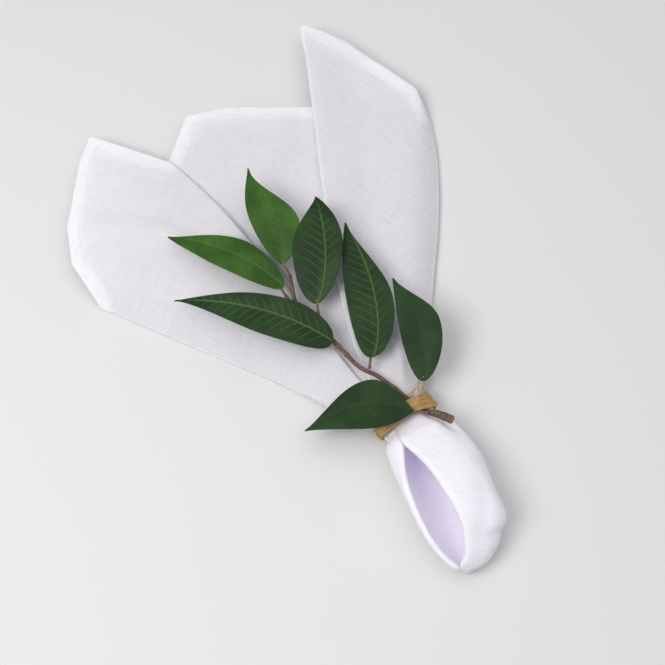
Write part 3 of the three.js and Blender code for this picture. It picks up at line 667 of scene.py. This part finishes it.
class RingSettings(bpy.types.PropertyGroup):
    """Make and colour of the ring"""
    strands: IntProperty(
        name="Strands", description="Turns of raffia side by side", default=9, min=3, max=12)
    strays: IntProperty(
        name="Loose fibres", description="Fibres that stand out of the ring", default=6, min=0)
    raffia_colour: FloatVectorProperty(
        name="Raffia colour", description="Colour of the raffia", subtype="COLOR", default=(0.50, 0.33, 0.12))


class SprigSettings(bpy.types.PropertyGroup):
    """Sizes and colours of the twig and the leaves"""
    vein_spacing: FloatProperty(
        name="Vein spacing", description="Distance between side veins", default=0.0052, unit="LENGTH")
    blade_thickness: FloatProperty(
        name="Blade thickness", description="Thickness of a leaf", default=0.0005, unit="LENGTH")
    bark_colour: FloatVectorProperty(
        name="Bark colour", description="Colour of the stem", subtype="COLOR", default=(0.17, 0.115, 0.08))
    straw_colour: FloatVectorProperty(
        name="Straw colour", description="Colour of the pale stalk",
        subtype="COLOR", default=(0.46, 0.36, 0.20))
    cut_colour: FloatVectorProperty(
        name="Cut colour", description="Colour of the cut end", subtype="COLOR", default=(0.30, 0.20, 0.12))
    dark_leaf: FloatVectorProperty(
        name="Dark leaf", description="Colour of the grown leaves",
        subtype="COLOR", default=(0.014, 0.044, 0.009))
    bright_leaf: FloatVectorProperty(
        name="Bright leaf", description="Colour of the young leaves",
        subtype="COLOR", default=(0.034, 0.105, 0.008))
    vein_colour: FloatVectorProperty(
        name="Vein colour", description="Colour of the veins", subtype="COLOR", default=(0.085, 0.19, 0.045))


class StageSettings(bpy.types.PropertyGroup):
    """Floor, light and lens"""
    floor_colour: FloatVectorProperty(
        name="Floor colour", description="Colour of the floor", subtype="COLOR", default=(0.72, 0.73, 0.70))
    key_power: FloatProperty(
        name="Window light", description="Strength of the light from the left", default=8.5, unit="POWER")
    top_power: FloatProperty(
        name="Ceiling light", description="Strength of the light from above", default=7.8, unit="POWER")
    sky: FloatProperty(name="Sky", description="Strength of the even light all round", default=0.44)
    lens: FloatProperty(name="Lens", description="Focal length of the camera in millimetres", default=58.6)


# The napkin
def waist_point(across):
    """Where a fold leaves the gathered cloth, in plan."""
    return ACROSS * across + ALONG * WAIST_ALONG


def fold_control(fold):
    """The four control points of a fold's cubic curve, in plan."""
    waist, near, far, end = FOLDS[fold]
    return np.array([waist_point(waist), near, far, end], float)


def soft_rise(plan):
    """Sum of hills, each rise times exp(-u squared - v squared) in its own turned axes."""
    total = np.zeros(plan.shape[:-1])
    for place, size, bearing, rise in RISES:
        turn = math.radians(bearing)
        d = plan - np.array(place, float)
        u = (d[..., 0] * math.cos(turn) + d[..., 1] * math.sin(turn)) / size[0]
        v = (d[..., 1] * math.cos(turn) - d[..., 0] * math.sin(turn)) / size[1]
        total += rise * np.exp(-u * u - v * v)
    return total * ease(*RISE_START, np.linalg.norm(plan, axis=-1))


def crease_height(plan, level):
    """Sum of the creases of one layer: height times exp(-(distance / half width) squared)."""
    total = np.zeros(plan.shape[:-1])
    for where, path, width, height in CREASES:
        if where != level:
            continue
        fine = through_rows(path, np.linspace(0, len(path) - 1, 12))
        distance, place = along_path(plan, fine)
        whole = np.linalg.norm(np.diff(fine, axis=0), axis=1).sum()
        ends = ease(0, 0.25 * whole, place) * (1 - ease(0.75 * whole, whole, place))
        total += height * np.exp(-(distance / width) ** 2) * (0.25 + 0.75 * ends)
    return total


def hem_columns(panel):
    """Columns at even steps along the hem, with one at each of its corners."""
    first, second, _, width, *_, turns = panel
    corners = np.array([FOLDS[first][3], *turns, FOLDS[second][3]], float)
    lengths = np.linalg.norm(np.diff(corners, axis=0), axis=1)
    starts = lengths_to(corners)
    parts = [np.linspace(0, 1, int(math.ceil(length / width)), endpoint=False) for length in lengths]
    hem = np.concatenate([a + t[:, None] * (b - a) for a, b, t in zip(corners, corners[1:], parts)])
    along = np.concatenate([start + t * length for start, t, length in zip(starts, parts, lengths)])
    hem = np.concatenate([hem, corners[-1:]])
    along = np.append(along, starts[-1])
    longest = int(np.argmax(lengths))
    way = corners[longest + 1] - corners[longest]
    return hem, along / starts[-1], corners, math.atan2(way[1], way[0])


def panel_surface(panel, s, settings):
    """A panel's middle surface (rows, columns, 3), its places from and along the hem, and its bearing.

    Each column is a cubic curve from the ring to the hem. Its height is that of the layer, less the
    slopes towards its folds, plus the soft rises, the creases and slow waves."""
    first, second, level, _, sink_from, sink_to, reach, _ = panel
    hem, share, corners, bearing = hem_columns(panel)
    a, b = fold_control(first), fold_control(second)
    control = a + share[:, None, None] * (b - a)
    control[:, 3] = hem
    w = np.stack([(1 - s) ** 3, 3 * s * (1 - s) ** 2, 3 * s * s * (1 - s), s ** 3], 1)
    plan = np.einsum("rk,ckd->rcd", w, control)
    distance = np.linalg.norm(plan, axis=-1)
    lift = RING_LIFT * (1 - ease(*RING_LIFT_REACH, distance))
    height = level * LAYER_PITCH
    sink = np.zeros(distance.shape)
    for depth, fold in ((sink_from, a), (sink_to, b)):
        if depth:
            line = np.einsum("rk,kd->rd", w, fold)[:, None]
            slope = reach * (SINK_NARROWEST + (1 - SINK_NARROWEST) * s)[:, None]
            sink += depth * np.clip(1 - np.linalg.norm(plan - line, axis=-1) / slope, 0, 1) ** 2
    sink *= ease(*SINK_START, s)[:, None]
    free = 1 - sink / height if height else np.zeros(distance.shape)
    upper = np.clip((level - FLAT_LEVEL) / (TOP_LEVEL - FLAT_LEVEL), 0, 1)
    waves = ripple(plan[..., 0], plan[..., 1], 62, 0.6 + level) * settings.unevenness / MM
    waves = waves * ease(20, 60, distance)
    rise = (soft_rise(plan) + waves) * free * upper + crease_height(plan, level) * free
    z = settings.thickness / MM / 2 + lift + height - sink + rise
    return np.dstack([plan, z]), np.dstack(along_path(plan, corners)), bearing


def turn_points(first, inner, second, steps):
    """The round turn of the cloth at a fold: half a circle from one panel's edge to the next one's."""
    line = np.gradient(first, axis=0) * (1, 1, 0)
    line = unit(line)
    out = (first - inner) * (1, 1, 0)
    out = unit(out - line * np.sum(out * line, axis=1, keepdims=True))
    radius = (second[:, 2] - first[:, 2]) / 2
    angle = np.pi * np.arange(1, steps + 1) / (steps + 1)
    bulge = np.abs(radius)[:, None] * np.sin(angle)
    points = ((first + second) / 2)[:, None] + out[:, None] * bulge[..., None]
    points[..., 2] -= radius[:, None] * np.cos(angle)
    return points


def squeeze(points):
    """Near the ring the stack of layers takes on the oval of the ring."""
    across = points[..., :2] @ ACROSS
    along = points[..., :2] @ ALONG
    amount = 1 - ease(*SQUEEZE_REACH, along)
    u = np.clip(across / BUNCH_HALF[1], -1, 1)
    v = np.clip((points[..., 2] - BUNCH_CENTRE) / BUNCH_HALF[2], -1, 1)
    shrink = 1 + (np.sqrt(1 - v * v / 2) - 1) * amount
    flatten = 1 + (np.sqrt(1 - u * u / 2) - 1) * amount
    points = points.copy()
    points[..., :2] += (across * (shrink - 1))[..., None] * ACROSS
    points[..., 2] = BUNCH_CENTRE + (points[..., 2] - BUNCH_CENTRE) * flatten
    return points


def turned(plan, bearing):
    """Plan places in metres along and across the threads of a panel."""
    c, s = math.cos(bearing), math.sin(bearing)
    return np.stack([plan[..., 0] * c + plan[..., 1] * s, plan[..., 1] * c - plan[..., 0] * s], -1) * MM


def add_fan(form, settings):
    """The fan: ten panels and the turns between them, closed into one loop of cloth with two sides."""
    steps = zip(FAN_BREAKS, FAN_BREAKS[1:], FAN_STEPS)
    s = np.concatenate([*(np.linspace(a, b, count, endpoint=False) for a, b, count in steps), [1.0]])
    surfaces = [panel_surface(panel, s, settings) for panel in PANELS]
    points, maps, maps_next = [], [], []
    for k, (surface, hem, bearing) in enumerate(surfaces):
        following = surfaces[(k + 1) % len(surfaces)][0]
        turn = turn_points(surface[:, -1], surface[:, -2], following[:, 0], TURN_STEPS)
        block = np.concatenate([surface, turn, following[:, :1]], axis=1)
        hem = np.concatenate([hem, hem[:, -1:].repeat(TURN_STEPS + 1, 1)], axis=1)
        values = np.dstack([turned(block, bearing), hem])
        points.append(block[:, :-1])
        maps.append(values[:, :-1])
        maps_next.append(values[:, 1:])
    points = squeeze(np.concatenate(points, 1))
    maps, maps_next = np.concatenate(maps, 1), np.concatenate(maps_next, 1)
    thickness = settings.thickness / MM
    hem_width = settings.hem_width / MM
    half = thickness / 2 * (PRESSED + (1 - PRESSED) * ease(0, PRESSED_UNTIL, s))[:, None]
    half = half * (1 + HEM_SWELL * (1 - ease(hem_width * 0.86, hem_width * 1.08, maps[..., 2])))
    outer, inner = both_sides(points, half, True, floor=0.0)
    beyond = unit(points[-1] - points[-2]) * thickness * 0.5
    edge = points[-1] + beyond
    edge[:, 2] = np.maximum(edge[:, 2], 0.15)
    loop = np.concatenate([outer, edge[None], inner[::-1], points[:1]])
    faces, row, column = grid_faces(len(loop), loop.shape[1], True, True)
    back = np.concatenate([np.arange(len(s)), [len(s) - 1], np.arange(len(s))[::-1], [0], [0]])
    here, source = column[:, :1], back[row]
    later = (column > here)[..., None]
    values = np.where(later, maps_next[source, here], maps[source, here])
    form.add(loop, faces, threads=values[..., :2], hem=values[..., 2:] * MM)


def scoop_grid(places, columns):
    """Sections of the scoop: an oval with slightly squared sides, between the angles of its free edges."""
    table = through_rows(SCOOP, places)
    t = np.linspace(0, 1, columns)
    angle = np.radians(table[:, 6:7] + (table[:, 7:8] - table[:, 6:7]) * t)
    cosine, sine = np.cos(angle), np.sin(angle)
    cosine, sine = squared(cosine, SECTION_POWER), squared(sine, SECTION_POWER)
    left, right = table[:, None, 0:2], table[:, None, 2:4]
    plan = left + (right - left) * ((1 + cosine) / 2)[..., None]
    z = table[:, 4:5] + (table[:, 5:6] - table[:, 4:5]) * (1 + sine) / 2
    return np.dstack([plan, z]), t


def add_scoop(form):
    """The scoop: a wall of doubled cloth between two soft round rims, with troughs pressed into it."""
    places = np.concatenate([np.linspace(0, SCOOP_NEAR_TOE, SCOOP_STEPS, endpoint=False),
                             np.linspace(SCOOP_NEAR_TOE, SCOOP_END, SCOOP_TOE_STEPS)])
    points, t = scoop_grid(places, SCOOP_COLUMNS)
    normal = unit(np.cross(np.gradient(points, axis=1), np.gradient(points, axis=0)))
    for path, width, depth in SCOOP_TROUGHS:
        fine = through_rows(path, np.linspace(0, len(path) - 1, 24))
        d = np.linalg.norm(points[:, :, None] - fine[None, None], axis=-1).min(-1)
        points = points - normal * (depth * np.exp(-(d / width) ** 2))[..., None]
    edge = np.minimum(t, 1 - t)[None] * np.ones((len(places), 1))
    lengths = np.linalg.norm(np.diff(points, axis=1), axis=-1).sum(1)[:, None]
    half = SCOOP_HALF_WALL + RIM_SWELL * (1 - ease(*RIM_REACH, edge * lengths))
    fade = ease(0, 2.6, places)[:, None] * (1 - ease(9.2, SCOOP_END, places)[:, None] * 0.4)
    half = half * (0.55 + 0.45 * fade)
    outer, inner = both_sides(points, half, False, floor=0.0)
    lip = points[:, -1] + unit(points[:, -1] - points[:, -2]) * half[:, -1:] * 0.8
    rim_edge = points[:, 0] + unit(points[:, 0] - points[:, 1]) * half[:, :1] * 0.8
    shell, faces, caps, row, column, place = wall(outer, inner, (lip, rim_edge))
    u = lengths_to(points[:, len(t) // 2])
    v = lengths_to(points[int(len(places) * 0.6)])
    threads = np.stack([u[row], v[column]], -1) * MM
    within = (place > len(t)) & (place <= 2 * len(t))
    hem = np.where(within, INSIDE, NO_HEM)[..., None] * np.ones(2)
    form.close(form.add(shell, faces, threads=threads, hem=hem), caps, value=NO_HEM)


def add_ellipsoid(form, place, half, bearing, pleats=0.0):
    """A closed ellipsoid, ridged lengthwise where it has pleats."""
    rows, columns = 25, 96
    polar = np.linspace(0.02, np.pi - 0.02, rows)[:, None]
    round_ = np.linspace(0, 2 * np.pi, columns, endpoint=False)[None]
    swell = 1 + pleats * np.sin(round_ * 17 + 0.7 * np.sin(round_ * 3)) * np.sin(polar)
    x = half[0] * np.cos(polar) * np.ones_like(round_)
    y = half[1] * np.sin(polar) * np.cos(round_) * swell
    z = half[2] * np.sin(polar) * np.sin(round_) * swell
    c, s = math.cos(math.radians(bearing)), math.sin(math.radians(bearing))
    points = np.dstack([x * c - y * s + place[0], x * s + y * c + place[1], z + place[2]])
    faces, row, column = grid_faces(rows, columns, False, True)
    threads = np.stack([row * half[0] * 2 / rows, column * half[1] * 4 / columns], -1) * MM
    poles = np.array([points[0].mean(0), points[-1].mean(0)])
    every = np.concatenate([points.reshape(-1, 3), poles])
    added = form.add(every, faces, threads=threads, hem=np.full(threads.shape, NO_HEM))
    form.close(added, round_ends(rows, columns), value=NO_HEM)


class NAPKIN_OT_cloth(bpy.types.Operator):
    """Makes the napkin: the fan, the scoop and the gathered cloth in the ring"""
    bl_idname = "napkin.cloth"
    bl_label = "Napkin"

    def execute(self, context):
        settings = context.scene.napkin_cloth
        form = Form()
        add_fan(form, settings)
        add_scoop(form)
        add_ellipsoid(form, (0, 0, BUNCH_CENTRE), BUNCH_HALF, math.degrees(RING_TURN) + 90, 0.03)
        add_ellipsoid(form, TOE_PLACE, TOE_HALF, 0)
        piece = form.make("linen_napkin", [linen(settings)])
        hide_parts("napkin")
        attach(piece, "root")
        return {"FINISHED"}


# The ring
def oval(angle, width, depth):
    """A slightly squared oval (superellipse) standing on the surface, across the ring and upwards."""
    power = 2 / RING_SQUARE
    c, s = np.cos(angle), np.sin(angle)
    return width / 2 * squared(c, power), depth / 2 * squared(s, power)


class NAPKIN_OT_ring(bpy.types.Operator):
    """Makes the ring: strands of raffia wound side by side, with a few loose fibres"""
    bl_idname = "napkin.ring"
    bl_label = "Raffia ring"

    def execute(self, context):
        settings = context.scene.napkin_ring
        form = Form()
        count = settings.strands
        width = RING_BAND / count
        angle = np.linspace(0, 2 * np.pi, STRAND_STEPS, endpoint=False)
        for k in range(count):
            wobble = 0.30 * np.sin(2 * angle + 1.9 * k) + 0.18 * np.sin(5 * angle + 2.7 * k)
            lift = 0.22 * np.sin(3 * angle + 1.3 * k) + 0.14 * np.sin(7 * angle + 0.9 * k)
            across, up = oval(angle, RING_WIDTH - STRAND_INSET, RING_DEPTH - STRAND_INSET)
            share = (k + 0.5) / count
            top = ease(0, 8, up)
            low = -0.8 - 0.36 * np.maximum(0, across - 2) * top - 3 * ease(-5, 8, across) * (1 - top)
            high = RING_ALONG + RING_BAND / 2 + 0.6 * top - 0.2 * np.maximum(0, across - 2) * top
            along = low + (high - low) * share + wobble * 0.7
            size = 1 + (lift - 0.2) / 18
            plan = np.outer(across * size, ACROSS) + np.outer(along, ALONG)
            path = np.column_stack([plan, RING_DEPTH / 2 + up * size])
            self.add_strand(form, path, width * 0.62)
        rng = np.random.default_rng(7)
        for k in range(settings.strays):
            t = np.linspace(0, 1, 14)[:, None]
            start = np.append(ACROSS * rng.uniform(10.5, 14.5) + ALONG * rng.uniform(2.5, 4.5), 18.6)
            way = np.array([rng.uniform(-1.2, 1.2), rng.uniform(6, 11), rng.uniform(0.2, 1.2)])
            bend = np.array([rng.uniform(-0.6, 0.6), 0, rng.uniform(0, 0.8)])
            path = start + way * t + bend * 4 * t * (1 - t)
            add_tube(form, path, STRAY_RADIUS * (1 - 0.6 * t[:, 0]), 6)
        piece = form.make("raffia_ring", [raffia(settings)])
        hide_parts("ring")
        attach(piece, "root")
        return {"FINISHED"}

    def add_strand(self, form, path, half_width):
        """A closed strand: an oval carried round the ring, flat side out, resting on the surface."""
        tangent = unit(np.roll(path, -1, 0) - np.roll(path, 1, 0))
        side = np.append(ALONG, 0)[None] * np.ones((len(path), 1))
        out = unit(np.cross(tangent, side))
        turn = np.linspace(0, 2 * np.pi, STRAND_SIDES, endpoint=False)
        ring = side[:, None] * np.cos(turn)[:, None] * half_width
        ring = ring + out[:, None] * np.sin(turn)[:, None] * STRAND_DEPTH
        points = path[:, None] + ring
        points[..., 2] = np.maximum(points[..., 2], 0)
        faces, row, column = grid_faces(len(path), STRAND_SIDES, True, True)
        length = lengths_to(np.concatenate([path, path[:1]]))
        fibre = np.stack([length[row], column * 2 * np.pi * half_width / STRAND_SIDES], -1) * MM
        form.add(points, faces, fibre=fibre)


# The sprig
class NAPKIN_OT_twig(bpy.types.Operator):
    """Makes the twig with its knots, its cut stub and its side stem"""
    bl_idname = "napkin.twig"
    bl_label = "Twig"

    def execute(self, context):
        settings = context.scene.napkin_sprig
        form = Form()
        for rows, count, knots in ((MAIN_STEM, 220, STEM_KNOTS), (SIDE_STEM, 40, [(0.3, 0.2)])):
            places = np.linspace(0, len(rows) - 1, count)
            table = through_rows(rows, places)
            radius = table[:, 3]
            for place, swell in knots:
                radius = radius + swell * np.exp(-((places - place) / 0.13) ** 2)
            radius = radius * (1 + 0.03 * np.sin(places * 9.1) + 0.012 * np.sin(places * 23.7))
            add_tube(form, table[:, :3], radius, STEM_SIDES, 1)
        piece = form.make("sprig_twig", [bark(settings), cut_wood(settings)])
        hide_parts("twig")
        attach(piece, "root")
        return {"FINISHED"}


def leaf_width(u, outline, roundness):
    """Width of one side at a share u of the length, against its greatest width.

    It is a power of a sine up to the widest place, and a power of a cosine from there to the tip."""
    _, widest, sharp = outline
    rising = np.sin(np.pi / 2 * np.clip(u / widest, 0, 1)) ** roundness
    falling = np.maximum(0, np.cos(np.pi / 2 * np.clip((u - widest) / (1 - widest), 0, 1))) ** sharp
    return np.where(u < widest, rising, falling)


def add_blade(form, leaf, thickness):
    """A leaf's blade: its middle line bowed sideways and arched, its sides folded up from the midrib."""
    base, tip, _, _, left, right, roundness, bow, arch, fold, roll, shift, *_ = leaf
    base, tip = np.array(base, float), np.array(tip, float)
    u = (1 - np.cos(np.linspace(0, np.pi, BLADE_ROWS))) / 2
    w = np.sin(np.linspace(np.pi / 2, -np.pi / 2, BLADE_COLUMNS))
    axis = unit((tip - base) * (1, 1, 0))
    side = np.array([-axis[1], axis[0], 0])
    swing = 4 * u * (1 - u)
    middle = base + u[:, None] * (tip - base) + side * (bow * swing)[:, None]
    middle[:, 2] += arch * swing
    wide = np.where(w > 0, leaf_width(u, left, roundness)[:, None], leaf_width(u, right, roundness)[:, None])
    reach = np.where(w > 0, left[0], right[0]) * wide
    reach = w * np.maximum(LEAF_BLUNT, reach)
    points = middle[:, None] + side * reach[..., None]
    vee = LEAF_VEE[0] * np.abs(w) + LEAF_VEE[1] * w * w
    wave = 0.25 * np.sin(u * 17 + base[0])[:, None] * np.abs(w) ** 2 * wide
    points[..., 2] += fold * wide * vee + wave - reach * math.tan(math.radians(roll))
    half = np.full(points.shape[:2], thickness / 2)
    inner, outer = both_sides(points, half, False)
    edges = [points[:, -1] + side * -0.2, points[:, 0] + side * 0.2]
    shell, faces, caps, row, column, _ = wall(outer, inner, edges)
    length = u * np.linalg.norm(tip - base)
    rib = shift * np.sin(np.pi * u ** 0.6)
    across = (reach - rib[:, None])[row, column] * MM
    blade = np.stack([length[row] * MM, across], -1)
    edge = np.stack([np.abs(w)[column], u[row]], -1)
    form.close(form.add(shell, faces, blade=blade, edge=edge), caps)


def add_stalk(form, leaf):
    """A leaf's stalk: from beside its stem, or from the stem's end, into the base of the blade."""
    base, tip, stem, joint, arch = *leaf[:4], leaf[8]
    rows = MAIN_STEM if stem == "main" else SIDE_STEM
    here, near = through_rows(rows, [joint, joint - 0.05])
    start, radius = here[:3], here[3]
    tangent = unit(start - near[:3])
    base, tip = np.array(base, float), np.array(tip, float)
    inside = base + (tip - base) * STALK_INSIDE
    inside[2] += arch * 4 * STALK_INSIDE * (1 - STALK_INSIDE)
    way = unit(inside - start)
    slant = abs(float(way @ tangent))
    beside = (radius + SEAT + STALK_RADIUS * slant) / math.sqrt(1 - slant * slant)
    reach = SEAT + STALK_RADIUS * math.sqrt(1 - slant * slant) if joint == len(rows) - 1 else beside
    start = start + way * reach
    t = np.linspace(0, 1, 16)
    path = start + (inside - start) * t[:, None]
    swell = 1 + 0.25 * np.exp(-(t / 0.12) ** 2)
    radius = STALK_RADIUS * swell - (STALK_RADIUS - STALK_END_RADIUS) * ease(0.6, 1, t)
    points, faces, _, ends = tube(path, radius, STALK_SIDES)
    form.close(form.add(points, faces, 1), ends, 1)


class NAPKIN_OT_leaves(bpy.types.Operator):
    """Makes the seven leaves, each with its stalk"""
    bl_idname = "napkin.leaves"
    bl_label = "Leaves"

    def execute(self, context):
        settings = context.scene.napkin_sprig
        stalks = {"bark": stalk_skin("stalk", settings.bark_colour),
                  "straw": stalk_skin("straw", settings.straw_colour)}
        for k, leaf in enumerate(LEAVES):
            strength, kind, stalk_kind = leaf[-3:]
            bright = kind == "bright"
            base = tuple(settings.bright_leaf if bright else settings.dark_leaf)
            skin = leaf_skin(f"leaf_skin_{k + 1}", settings, base, tuple(settings.vein_colour), strength)
            form = Form()
            add_blade(form, leaf, settings.blade_thickness / MM)
            add_stalk(form, leaf)
            piece = form.make(f"sprig_leaf_{k + 1}", [skin, stalks[stalk_kind]])
            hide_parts(f"leaf_{k + 1}")
            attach(piece, "root")
        return {"FINISHED"}


# The stage: each light is its place, its width and its colour
WINDOW = (-0.55, -0.4, 1.0), 0.6, (1.0, 0.965, 0.955)
CEILING = (0.3, 0.22, 1.36), 1.6, (1.0, 0.96, 0.91)
SKY_COLOUR = (0.86, 0.84, 1.0, 1)
FLOOR_REACH = 3.0
CAMERA_PLACE, CAMERA_AIM = (0.03325, -0.2947, 0.5632), (0.03325, -0.0355, 0.0)


def put_up(name, data, place, target=(0, 0, 0)):
    """Puts a light or the camera at its place and turns it towards its target."""
    thing = bpy.data.objects.new(name, data)
    thing.location = place
    thing.rotation_euler = (Vector(target) - Vector(place)).to_track_quat("-Z", "Y").to_euler()
    bpy.context.scene.collection.objects.link(thing)
    return thing


def area_light(name, lamp, power):
    """Puts up a square lamp that points at the piece."""
    place, width, colour = lamp
    light = bpy.data.lights.new(name, "AREA")
    light.shape = "RECTANGLE"
    light.size, light.size_y = width, width
    light.energy = power
    light.color = colour
    put_up(name, light, place)


class NAPKIN_OT_stage(bpy.types.Operator):
    """Makes the floor, the lights and the camera"""
    bl_idname = "napkin.stage"
    bl_label = "Stage"

    def execute(self, context):
        settings = context.scene.napkin_stage
        scene = context.scene
        mesh = bpy.data.meshes.new("floor")
        sides = (-1, -1), (1, -1), (1, 1), (-1, 1)
        mesh.from_pydata([(x * FLOOR_REACH, y * FLOOR_REACH, 0) for x, y in sides], [], [(0, 1, 2, 3)])
        mesh.materials.append(plain_floor(tuple(settings.floor_colour)))
        floor = bpy.data.objects.new("floor", mesh)
        scene.collection.objects.link(floor)
        area_light("window_light", WINDOW, settings.key_power)
        area_light("ceiling_light", CEILING, settings.top_power)
        world = bpy.data.worlds.new("room")
        world.use_nodes = True
        background = world.node_tree.nodes["Background"]
        background.inputs["Color"].default_value = SKY_COLOUR
        background.inputs["Strength"].default_value = settings.sky
        scene.world = world
        scene.view_settings.view_transform = "Standard"
        camera_data = bpy.data.cameras.new("camera")
        camera_data.lens = settings.lens
        camera_data.sensor_width = 36
        scene.camera = put_up("camera", camera_data, CAMERA_PLACE, CAMERA_AIM)
        return {"FINISHED"}


class NAPKIN_PT_panel(bpy.types.Panel):
    """Lists the pieces and their settings"""
    bl_label = "Napkin in a ring"
    bl_idname = "NAPKIN_PT_panel"
    bl_space_type = "VIEW_3D"
    bl_region_type = "UI"
    bl_category = "Napkin"

    def draw(self, context):
        for name, operator in STEPS:
            box = self.layout.box()
            group = getattr(context.scene, name)
            for key in group.__annotations__:
                box.prop(group, key)
            box.operator(operator)


STEPS = [("napkin_stage", "napkin.stage"), ("napkin_cloth", "napkin.cloth"), ("napkin_ring", "napkin.ring"),
         ("napkin_sprig", "napkin.twig"), ("napkin_sprig", "napkin.leaves")]
GROUPS = {"napkin_cloth": ClothSettings, "napkin_ring": RingSettings,
          "napkin_sprig": SprigSettings, "napkin_stage": StageSettings}
CLASSES = [*GROUPS.values(), NAPKIN_OT_cloth, NAPKIN_OT_ring, NAPKIN_OT_twig, NAPKIN_OT_leaves,
           NAPKIN_OT_stage, NAPKIN_PT_panel]


def register():
    for item in CLASSES:
        bpy.utils.register_class(item)
    for name, group in GROUPS.items():
        setattr(bpy.types.Scene, name, PointerProperty(type=group))


def unregister():
    for name in GROUPS:
        delattr(bpy.types.Scene, name)
    for item in reversed(CLASSES):
        bpy.utils.unregister_class(item)


def main():
    register()
    bpy.ops.napkin.stage()
    bpy.ops.napkin.cloth()
    bpy.ops.napkin.ring()
    bpy.ops.napkin.twig()
    bpy.ops.napkin.leaves()


if __name__ == "__main__":
    main()
